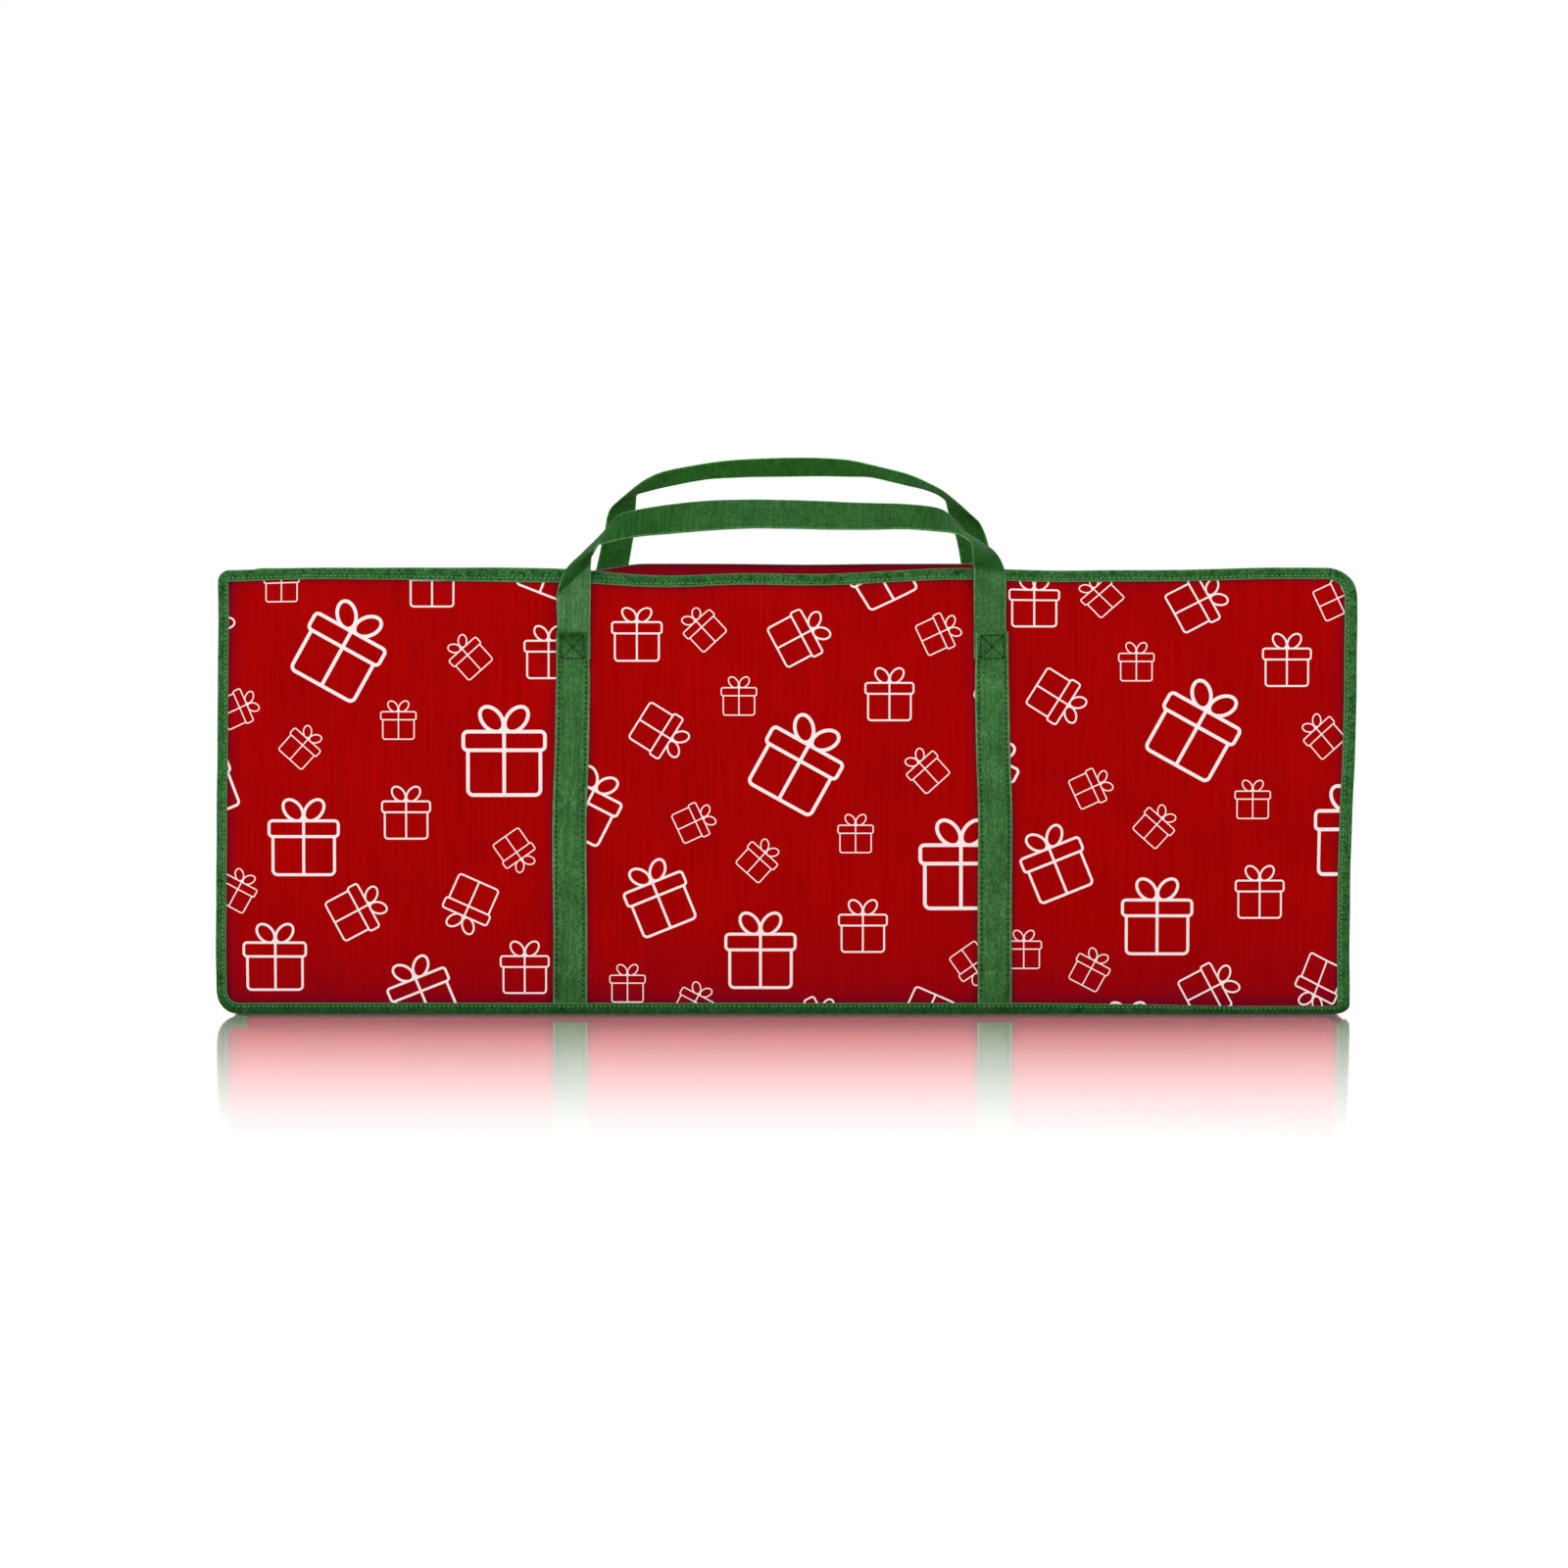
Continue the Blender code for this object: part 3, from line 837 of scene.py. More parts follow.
@dataclass(frozen=True)
class FaceShape:
    """Where a point of a flat face lies once the bag is sewn, filled and stood up."""

    facing: Face
    half_length: float
    height: float
    front: float
    plane: float
    border: float
    strap_u: Flat
    top_sags: tuple[tuple[float, float, float], ...] = (
        (-0.092, 0.0055, 0.056), (0.022, 0.0046, 0.068), (0.200, 0.0021, 0.052), (0.280, 0.0017, 0.045),
    )
    corner_sag: float = 0.0020
    corner_reach: float = 0.055
    lean: float = 0.0043
    left_lean: float = 0.0030
    top_drop: float = 0.0
    fullness: float = 0.0030
    middle_fullness: float = 0.0022
    flat: float = 0.0135
    splay: float = 0.0028
    bow: float = 0.0015
    strap_head: float = 0.2815
    strap_half: float = 0.0125
    bow_z: float = 0.135
    bow_reach: float = 0.055
    head_draw: float = 0.0004
    edge_wave: float = 0.0004
    side_wave: float = 0.0005
    foot_lift: float = 0.0003
    left_shift: float = 0.0011
    top_zone: Flat = (0.036, 0.007)
    foot_zone: Flat = (0.030, 0.006)
    side_zone: Flat = (0.044, 0.010)
    lean_zone: Flat = (0.245, 0.085)
    fold_sizes: Flat = (0.0011, 0.0005)

    def strap_line(self, u: float, z: float) -> float:
        """The centre line of a strap whose head is at u: the straps splay and bow outwards."""
        bow = self.bow * bump(z, self.bow_z, self.bow_reach) - self.head_draw * ease(0.20, 0.26, z)
        return u + math.copysign(self.splay * (1 - z / self.strap_head) + bow, u)

    def drift(self, u: float, z: float) -> Flat:
        """How far the edges have moved from straight.

        Args:
            u: Place along the face.
            z: Height on the face.

        Returns:
            The shift along the face and the shift upwards.
        """
        sag = sum(depth * bump(u, centre, reach) for centre, depth, reach in self.top_sags)
        sag += self.corner_sag * bump(u, -self.half_length, self.corner_reach)
        wave = self.edge_wave * ripple(u * 21, 3.7 * self.facing.value)
        top = (wave - sag - self.top_drop) * ease(*self.top_zone, self.height - z)
        lift = self.foot_lift * (1 + ripple(u * 13, 8.1 * self.facing.value)) * ease(*self.foot_zone, z)
        near_right = ease(*self.side_zone, self.half_length - u)
        near_left = ease(*self.side_zone, self.half_length + u)
        lean = self.lean * ease(*self.lean_zone, z) * near_right
        left = (self.left_lean * ease(0.03, 0.31, z) - self.left_shift) * near_left
        side = self.side_wave * ripple(z * 24, 5.3) * ease(0.05, 0.0, self.half_length - abs(u))
        return side - lean + left, top + lift

    def swell(self, u: float, z: float) -> float:
        """How far the cloth stands out from its flat plane.

        Args:
            u: Place along the face.
            z: Height on the face.

        Returns:
            The distance, nothing at the seams and straps.
        """
        edge = self.half_length - self.border
        marks = (-edge - self.flat, *self.strap_u, edge + self.flat)
        section = 0 if u < marks[1] else 1 if u < marks[2] else 2
        low, high = marks[section] + self.flat, marks[section + 1] - self.flat
        across = abs(2 * (u - low) / (high - low) - 1)
        up = abs(2 * (z - self.border) / (self.height - 2 * self.border) - 1)
        room = (1 - min(across, 1.0) ** 4) * (1 - min(up, 1.0) ** 4)
        seed = 17.0 * section + 5.0 * self.facing.value
        full = self.middle_fullness if section == 1 else self.fullness
        wide, fine = self.fold_sizes
        folds = wide * ripple(u * 10, z * 6, seed) + fine * ripple(u * 27 + z * 8, z * 12, seed)
        return room * (full + folds)

    def place(self, u: float, z: float, out: float = 0.0) -> Vector:
        """A point of the face's cloth.

        Args:
            u: Place along the face.
            z: Height on the face.
            out: Distance out of the cloth.

        Returns:
            The point.
        """
        across, up = self.drift(u, z)
        side = self.facing.value
        return Vector((-side * (u + across), side * (self.plane + self.swell(u, z) + out), z + up))

    def rim(self, u: float, z: float, depth: float) -> Vector:
        """A point of the face's bound edge, at a depth behind its foremost plane."""
        across, up = self.drift(u, z)
        side = self.facing.value
        return Vector((-side * (u + across), side * (self.front - depth), z + up))

    def shade(self, u: float, z: float) -> float:
        """Painted shade on the cloth, beside the straps and binding and low down on the face.

        Args:
            u: Place along the face.
            z: Height on the face.

        Returns:
            The share of the painted shade colour.
        """
        edge = self.half_length - self.border
        near_strap = min(
            abs(abs(u - self.strap_line(strap, z)) - self.strap_half) for strap in self.strap_u)
        near_side = edge - abs(u)
        near_ends = min(self.height - self.border - z, z - self.border)
        uneven = 0.5 + 0.5 * ripple(u * 9, z * 11, 2.0)
        strap_dark = 0.55 * math.exp(-max(near_strap, 0.0) / 0.0028)
        side_dark = 0.60 * math.exp(-max(near_side, 0.0) / 0.0032)
        low_dark = 0.35 * math.exp(-max(z - self.border, 0.0) / 0.020)
        end_dark = 0.30 * math.exp(-max(near_ends, 0.0) / 0.0025)
        return min(0.85, (strap_dark + side_dark) * (0.55 + 0.6 * uneven) + low_dark + end_dark)


@dataclass(frozen=True)
class GiftMotif:
    """The line drawing of one gift box. Its sizes are shares of the lid's width."""

    u: float
    z: float
    width: float
    turn: float
    line: float = 0.0245
    line_growth: float = 0.27
    lid_width: float = 0.944
    lid_height: float = 0.215
    lid_radius: float = 0.050
    body_width: float = 0.838
    body_height: float = 0.520
    body_radius: float = 0.062
    knot_height: float = 0.100
    loop_across: float = 0.1435
    loop_up: float = 0.144
    loop_long: float = 0.166
    loop_short: float = 0.110
    loop_lean: float = 50.0
    corner_steps: int = 5
    loop_steps: int = 22
    longest: float = 0.0070

    def corner(self, across: float, up: float, radius: float, start: float) -> list[Flat]:
        """A quarter turn round a corner's centre, clockwise from a direction in degrees."""
        angles = [math.radians(start - 90 * k / self.corner_steps) for k in range(self.corner_steps + 1)]
        return [(across + radius * math.cos(a), up + radius * math.sin(a)) for a in angles]

    def strokes(self) -> list[tuple[list[Flat], bool]]:
        """The drawing's lines, round the spot where the ribbon crosses the lid's lower edge.

        Returns:
            Each line's points, and whether it closes on itself.
        """
        inner = self.lid_width / 2 - self.lid_radius
        low, high = self.lid_radius, self.lid_height - self.lid_radius
        lid_line = (
            self.corner(-inner, high, self.lid_radius, 180) + self.corner(inner, high, self.lid_radius, 90)
            + self.corner(inner, low, self.lid_radius, 0) + self.corner(-inner, low, self.lid_radius, -90)
        )
        body = self.body_width / 2
        turn = body - self.body_radius
        floor = -self.body_height
        body_line = (
            [(body, 0.0)] + self.corner(turn, floor + self.body_radius, self.body_radius, 0)
            + self.corner(-turn, floor + self.body_radius, self.body_radius, -90) + [(-body, 0.0)]
        )
        ribbon = [(0.0, self.lid_height + self.knot_height), (0.0, floor)]
        lines = [(lid_line, True), (body_line, False), (ribbon, False)]
        lean_cos = math.cos(math.radians(self.loop_lean))
        lean_sin = math.sin(math.radians(self.loop_lean))
        for side in (-1, 1):
            loop = []
            for angle in directions(self.loop_steps):
                long, short = self.loop_long * math.cos(angle), self.loop_short * math.sin(angle)
                loop.append((
                    side * (self.loop_across + lean_cos * long - lean_sin * short),
                    self.lid_height + self.loop_up + lean_sin * long + lean_cos * short,
                ))
            lines.append((loop, True))
        return lines

    def quads(self) -> list[list[Flat]]:
        """The drawing's lines as short four-sided strips, in place on the face.

        Returns:
            The corners of each strip, anticlockwise.
        """
        half = (self.line + self.line_growth * self.width) / 2
        angle = math.radians(-self.turn)
        cos, sin = math.cos(angle), math.sin(angle)
        strips = []
        for line, closed in self.strokes():
            cut: list[Vector] = []
            ends = line + line[:1] if closed else line
            for (a, b), (c, d) in zip(ends, ends[1:]):
                pieces = max(1, math.ceil(math.hypot(c - a, d - b) * self.width / self.longest))
                cut += [Vector((a + (c - a) * k / pieces, b + (d - b) * k / pieces)) for k in range(pieces)]
            if not closed:
                cut.append(Vector(line[-1]))
            count = len(cut)
            rails = []
            for k, spot in enumerate(cut):
                before = cut[(k - 1) % count] if closed or k else spot
                after = cut[(k + 1) % count] if closed or k < count - 1 else spot
                along = (after - before).normalized()
                side = Vector((-along.y, along.x)) * half
                rails.append((spot + side, spot - side))
            for first, second in zip(rails, rails[1:] + (rails[:1] if closed else [])):
                loop = [first[0], first[1], second[1], second[0]]
                placed = [
                    (self.u + self.width * (p.x * cos - p.y * sin),
                     self.z + self.width * (p.x * sin + p.y * cos)) for p in loop
                ]
                area = sum(a[0] * b[1] - b[0] * a[1] for a, b in zip(placed, placed[1:] + placed[:1]))
                strips.append(placed if area > 0 else placed[::-1])
        return strips


@dataclass(frozen=True)
class PrintTile:
    """The repeat of the print: gift boxes placed round the large tilted one, in millimetres.

    Each box is its distance to the right and up, its lid's width and its turn in degrees.
    """

    boxes: tuple[tuple[float, float, float, float], ...] = (
        (1.0, 0.0, 62.0, 29), (-118.8, 93.6, 38.6, 0), (-71.2, 98.3, 28.3, -43),
        (2.0, 92.1, 38.7, 62), (59.1, 140.6, 46.0, -27), (103.8, 94.2, 28.5, 65),
        (-43.9, 47.9, 27.4, 0), (66.6, 49.3, 37.4, 0), (152.0, -3.3, 37.4, 0),
        (-100.6, 20.2, 37.0, 122), (92.7, -5.7, 28.3, -42), (-155.2, -31.0, 49.5, 27),
        (153.7, 61.7, 44.0, 21), (-75.9, -44.5, 27.5, 65), (-28.6, -71.9, 27.3, 42),
        (41.8, -53.2, 27.4, 0), (-103.7, -99.2, 49.0, -22), (119.3, -75.6, 63.4, 0),
        (-28.1, -139.1, 54.0, 0), (47.2, -121.2, 37.4, 0), (-126.0, -163.8, 27.4, 0),
        (-76.3, -177.9, 27.5, 28), (128.2, -150.7, 27.5, 145), (92.9, -190.4, 37.7, 204),
        (12.0, -193.1, 38.0, 62), (-49.4, -227.5, 47.5, 0), (57.5, -253.4, 48.5, -22),
        (134.0, -235.3, 37.4, 0),
    )
    lift: float = 0.0027

    def motifs(self, u: float, z: float) -> list[GiftMotif]:
        """The boxes of one cut of cloth, whose large tilted one is at u and z."""
        return [
            GiftMotif(u + right / 1000, z + up / 1000 + self.lift, width / 1000, turn)
            for right, up, width, turn in self.boxes
        ]


@dataclass
class PrintedFace:
    """One face of the bag: three cuts of cloth with their print."""

    shape: FaceShape
    materials: Materials
    tile_places: tuple[Flat, Flat, Flat]
    thickness: float = 0.0006
    patch: float = 0.0040
    tuck: float = 0.0050
    hem: float = 0.0015
    corner: float = 0.0180
    ink_height: float = 0.00012
    ink_depth: float = 0.0004

    def cut_names(self) -> tuple[str, ...]:
        """The cuts from left to right of someone who looks at the face."""
        names = ("left", "centre", "right")
        return names if self.shape.facing is Face.FRONT else names[::-1]

    def windows(self) -> list[Flat]:
        """Where each cut starts and ends along the face."""
        edge = self.shape.half_length - self.hem
        marks = (-edge, self.shape.strap_u[0], self.shape.strap_u[1], edge)
        return list(zip(marks, marks[1:]))

    def lay(self, u: float, z: float, out: float) -> Vector:
        """A point of the cloth, whose corners are trimmed round inside the tape's fold."""
        radius = self.corner
        upward = 1 if z < LOW_HALF else -1
        reach_u = max(abs(u) - (self.shape.half_length - self.hem - radius), 0.0)
        centre = radius + self.hem if z < LOW_HALF else self.shape.height - self.hem - radius
        reach_z = max((centre - z) * upward, 0.0)
        share = min(1.0, radius / max(math.hypot(reach_u, reach_z), 1e-9))
        if reach_u > 0 and reach_z > 0:
            u -= math.copysign(reach_u * (1 - share), u)
            z += reach_z * (1 - share) * upward
        return self.shape.place(u, z, out)

    def build(self) -> None:
        """Build and dress the face."""
        word = self.shape.facing.word
        top = self.shape.height - self.tuck
        for cut, window, place in zip(self.cut_names(), self.windows(), self.tile_places):
            cloth = PieceMesh()
            cloth.shell(
                steps(*window, self.patch), steps(self.hem, self.shape.height - self.hem, self.patch),
                self.lay, self.thickness, shade=self.shape.shade,
            )
            panel = cloth.build(f"{word}_cloth_{cut}", self.materials.cloth)
            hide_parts(f"{word}_panel_{cut}")
            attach(panel, "bag")
            ink = self.ink(PrintTile().motifs(*place), window, (self.tuck, top))
            drawing = ink.build(f"{word}_print_{cut}", self.materials.ink)
            drawing.visible_glossy = drawing.visible_shadow = drawing.visible_diffuse = False
            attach(drawing, "bag")

    def ink(self, motifs: Iterable[GiftMotif], across: Flat, up: Flat) -> PieceMesh:
        """The print of one cut, as a thin layer of ink.

        Args:
            motifs: The drawings.
            across: Where the cut starts and ends along the face.
            up: Where it starts and ends upwards.

        Returns:
            The ink, clipped to the cut.
        """
        layer = PieceMesh()
        window = [Vector((1000 * u, 1000 * z)) for u, z in (
            (across[0], up[0]), (across[1], up[0]), (across[1], up[1]), (across[0], up[1]))]
        for motif in motifs:
            if motif.u + motif.width < across[0] or motif.u - motif.width > across[1]:
                continue
            corners = list(window)
            outlines = [[0, 1, 2, 3]]
            for strip in motif.quads():
                outlines.append(list(range(len(corners), len(corners) + 4)))
                corners += [Vector((1000 * u, 1000 * z)) for u, z in strip]
            spots, _, triangles, _, _, sources = delaunay_2d_cdt(corners, [], outlines, 1, 1e-4)
            kept = [t for t, source in zip(triangles, sources) if 0 in source and len(source) > 1]
            self.add_ink(layer, spots, kept)
        return layer

    def add_ink(self, layer: PieceMesh, spots: Sequence[Vector], triangles: Sequence[Sequence[int]]) -> None:
        """Add flat triangles to the layer as a closed skin on the cloth.

        Args:
            layer: The ink so far.
            spots: The triangles' corners on the face, in millimetres.
            triangles: Each triangle's three corners.
        """
        numbers: dict[tuple[int, float], int] = {}

        def corner(spot: int, out: float) -> int:
            """The layer's point over or under a spot."""
            if (spot, out) not in numbers:
                u, z = spots[spot].x / 1000, spots[spot].y / 1000
                numbers[(spot, out)] = layer.point(self.shape.place(u, z, out), (u, z, out))
            return numbers[(spot, out)]

        top, bottom = self.ink_height, self.ink_height - self.ink_depth
        edges: dict[tuple[int, int], bool] = {}
        for a, b, c in triangles:
            layer.faces.append((corner(a, top), corner(b, top), corner(c, top)))
            layer.faces.append((corner(c, bottom), corner(b, bottom), corner(a, bottom)))
            for first, second in ((a, b), (b, c), (c, a)):
                if edges.pop((second, first), None) is None:
                    edges[(first, second)] = True
        for first, second in edges:
            layer.faces.append((
                corner(second, top), corner(first, top), corner(first, bottom), corner(second, bottom)))


@dataclass
class EdgeBinding:
    """Tape folded over the seam round one face, with the row of stitches that holds it."""

    shape: FaceShape
    materials: Materials
    step: float = 0.0030
    corner_radii: tuple[float, float, float, float] = (0.0110, 0.0235, 0.0100, 0.0200)
    corner_steps: int = 9
    tightest: float = 0.0008
    stitch_sunk: float = 0.00026
    seam: float = 0.0068
    stitch_pitch: float = 0.0034
    stitch_length: float = 0.0021
    thread: float = 0.00036
    join_u: float = 0.0170
    crease_u: float = -0.0420
    join_step: float = 0.00055
    crease_depth: float = 0.00075
    crease_reach: float = 0.0016
    foot_shade: float = 0.55
    strap_bump: float = 0.0011
    bottom_share: float = 0.88
    bottom_right_share: float = 0.64
    top_share: float = 0.88
    top_extra: float = 0.24
    top_extra_u: float = -0.20
    top_extra_reach: float = 0.07
    left_share: float = 0.82
    wide_from: Flat = (0.012, 0.026)
    low_wide_from: Flat = (0.010, 0.024)
    bottom_change: Flat = (0.17, 0.34)
    foot_height: float = 0.0035
    profile_mm: tuple[Flat, ...] = (
        (9.50, 0.10), (9.20, 0.00), (8.40, 0.04), (7.70, 0.26), (7.00, 0.04), (5.20, -0.14),
        (3.20, -0.10), (1.60, 0.12), (0.65, 0.52), (0.15, 1.02), (0.00, 1.50), (0.15, 1.98),
        (0.65, 2.48), (1.60, 2.84), (3.20, 3.00), (6.00, 3.02), (9.20, 2.96), (9.20, 2.30),
        (6.00, 2.36), (3.20, 2.32), (1.70, 2.05), (1.00, 1.50), (1.70, 0.95), (3.20, 0.70),
        (5.20, 0.62), (7.70, 0.86), (9.50, 0.74),
    )

    def __post_init__(self) -> None:
        """Keep the outer outline at hand."""
        self.outline = self.ring(0.0)

    def ring(self, inset: float) -> list[tuple[float, float, Edge]]:
        """The face's outline, drawn in by a distance.

        Args:
            inset: The distance.

        Returns:
            Each station's u and z and the side that it is on, anticlockwise from the bottom's left end.
        """
        half, high = self.shape.half_length, self.shape.height
        # Corners in the tape's order: bottom right, top right, top left, bottom left.
        turns = ((1, 0), (1, 1), (-1, 1), (-1, 0))
        places = []
        for k, (side, upper) in enumerate(turns):
            full = self.corner_radii[k]
            radius = max(full - inset, self.tightest)
            reach = inset + radius
            centre = (side * (half - reach), high - reach if upper else reach)
            start = math.radians(-90 + 90 * k)
            arc = [start + math.pi / 2 * m / self.corner_steps for m in range(self.corner_steps + 1)]
            places.append([
                (centre[0] + radius * math.cos(a), centre[1] + radius * math.sin(a)) for a in arc
            ])
        stations = []
        for k, edge in enumerate(Edge):
            begin, end = places[k - 1][-1], places[k][0]
            length = 2 * half if edge in (Edge.BOTTOM, Edge.TOP) else high
            count = round(length / self.step)
            for m in range(1, count):
                share = m / count
                stations.append((
                    begin[0] + (end[0] - begin[0]) * share, begin[1] + (end[1] - begin[1]) * share, edge,
                ))
            stations += [(u, z, edge) for u, z in places[k]]
        return stations

    def seat(self, u: float, z: float) -> float:
        """The height that a point of the tape takes, where more or less of its width shows.

        Args:
            u: Place along the face.
            z: Height on the face, if all of the width showed.

        Returns:
            The height.
        """
        change = self.bottom_right_share - self.bottom_share
        low = self.bottom_share + change * ease(*self.bottom_change, u)
        low += (1 - low) * ease(*self.low_wide_from, z)
        high = self.top_share + self.top_extra * bump(u, self.top_extra_u, self.top_extra_reach)
        below = self.shape.height - z
        high += (1 - high) * ease(*self.wide_from, below)
        return z * low if z < LOW_HALF else self.shape.height - below * high

    def ruck(self, u: float, z: float, edge: Edge, inset: float) -> float:
        """How far the tape's front stands out where it is gathered, joined or laid over a strap.

        Args:
            u: Place along the face.
            z: Height on the face.
            edge: The side that the point is on.
            inset: Distance from the folded edge.

        Returns:
            The distance outwards.
        """
        run = u if edge in (Edge.BOTTOM, Edge.TOP) else z
        seed = 11.0 * edge.value + 40 * self.shape.facing.value
        out = 0.00028 * ripple(run * 150 + inset * 60, seed) + 0.00016 * ripple(run * 420, inset * 200, seed)
        if edge is Edge.TOP:
            past = u - self.join_u
            out += self.join_step * ease(0.0, 0.0012, past) * ease(0.017, 0.010, past)
            out -= self.crease_depth * bump(u, self.crease_u - inset * 0.4, self.crease_reach)
        if edge is Edge.BOTTOM:
            nearest = min(abs(u - strap) for strap in self.shape.strap_u)
            out += self.strap_bump * ease(0.0180, 0.0128, nearest) * ease(0.001, 0.006, inset)
        return out

    def build(self) -> None:
        """Build and dress the tape and its stitches."""
        word = self.shape.facing.word
        rings = {inset: self.ring(inset / 1000) for inset, _ in self.profile_mm}
        def put(station: float, across: float, depth: float) -> Vector:
            """A point of the folded tape."""
            u, z, edge = rings[across][int(station)]
            out = self.ruck(u, z, edge, across / 1000) if depth < 1.0 else 0.0
            return self.place(u, z, depth / 1000 - out)

        # The foot is a length of its own, because the floor doesn't mirror it.
        foot_end = max(
            k for k, (_, z, edge) in enumerate(self.outline)
            if edge is Edge.BOTTOM and z < self.foot_height
        )
        lengths = {
            "tape": [*range(foot_end, len(self.outline)), 0],
            "foot": list(range(foot_end + 1)),
        }
        for part, stations in lengths.items():
            tape = PieceMesh()
            tape.swept(stations, self.profile_mm, put, shade=self.shade)
            self.lay_cloth(tape, stations)
            piece = tape.build(f"{word}_binding_{part}", self.materials.binding)
            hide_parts(f"{word}_binding")
            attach(piece, "bag")
            piece.visible_glossy = piece.visible_shadow = piece.visible_diffuse = part == "tape"
        row = self.stitches().build(f"{word}_binding_stitches", self.materials.pale_thread)
        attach(row, "bag")
        row.visible_glossy = False

    def shade(self, station: float, across: float) -> float:
        """How dark the tape is: the bottom run lies in its own shade."""
        _, z, _ = self.outline[int(station)]
        return self.foot_shade * ease(0.020, 0.004, z)

    def lay_cloth(self, tape: PieceMesh, stations: Sequence[int]) -> None:
        """Give a length of tape its cloth coordinates in metres, measured along its folded edge.

        Args:
            tape: The tape's mesh.
            stations: Its stations.
        """
        size = len(self.profile_mm)
        run = 0.0
        for number, station in enumerate(stations):
            if number:
                run += math.dist(self.outline[station][:2], self.outline[stations[number - 1]][:2])
            for k, (across, depth) in enumerate(self.profile_mm):
                tape.cloth[number * size + k] = (across / 1000, run, depth / 1000)

    def place(self, u: float, z: float, depth: float) -> Vector:
        """A point of the tape in its seat, where less of its left run's width shows."""
        beside = self.shape.half_length + u
        narrow = self.left_share + (1 - self.left_share) * ease(*self.wide_from, beside)
        return self.shape.rim(beside * narrow - self.shape.half_length, self.seat(u, z), depth)

    def stitches(self) -> PieceMesh:
        """The row of stitches near the tape's inner edge.

        Returns:
            The stitches.
        """
        path = self.ring(self.seam)
        path.append(path[0])
        row = PieceMesh()
        run, due = 0.0, 0.0
        out = Vector((0.0, self.shape.facing.value, 0.0))
        for (u, z, edge), (next_u, next_z, _) in zip(path, path[1:]):
            length = math.hypot(next_u - u, next_z - z)
            while length > 1e-6 and due < run + length:
                share = (due - run) / length
                here_u, here_z = u + (next_u - u) * share, z + (next_z - z) * share
                along = Vector(((next_u - u) / length, (next_z - z) / length)) * self.stitch_length
                depth = self.stitch_sunk - self.ruck(here_u, here_z, edge, self.seam)
                start = self.place(here_u, here_z, depth)
                end = self.place(here_u + along.x, here_z + along.y, depth)
                row.stitch(start, end, out, self.thread)
                due += self.stitch_pitch
            run += length
        return row


def webbing_section(width: float, thickness: float, columns: int = 12) -> list[Flat]:
    """The section of flat webbing, with a bead along each edge.

    Args:
        width: Its width.
        thickness: Its thickness.
        columns: How many steps it has across.

    Returns:
        The closed outline, across and out.
    """
    half, deep = width / 2, thickness / 2
    inner = half - 0.0009
    top = [(-inner + 2 * inner * k / columns, deep * 0.90) for k in range(columns + 1)]
    right = [(half - 0.0004, deep), (half, deep * 0.45), (half, -deep * 0.45), (half - 0.0004, -deep)]
    bottom = [(a, -b) for a, b in reversed(top)]
    left = [(-a, b) for a, b in reversed(right)]
    return top + right + bottom + left


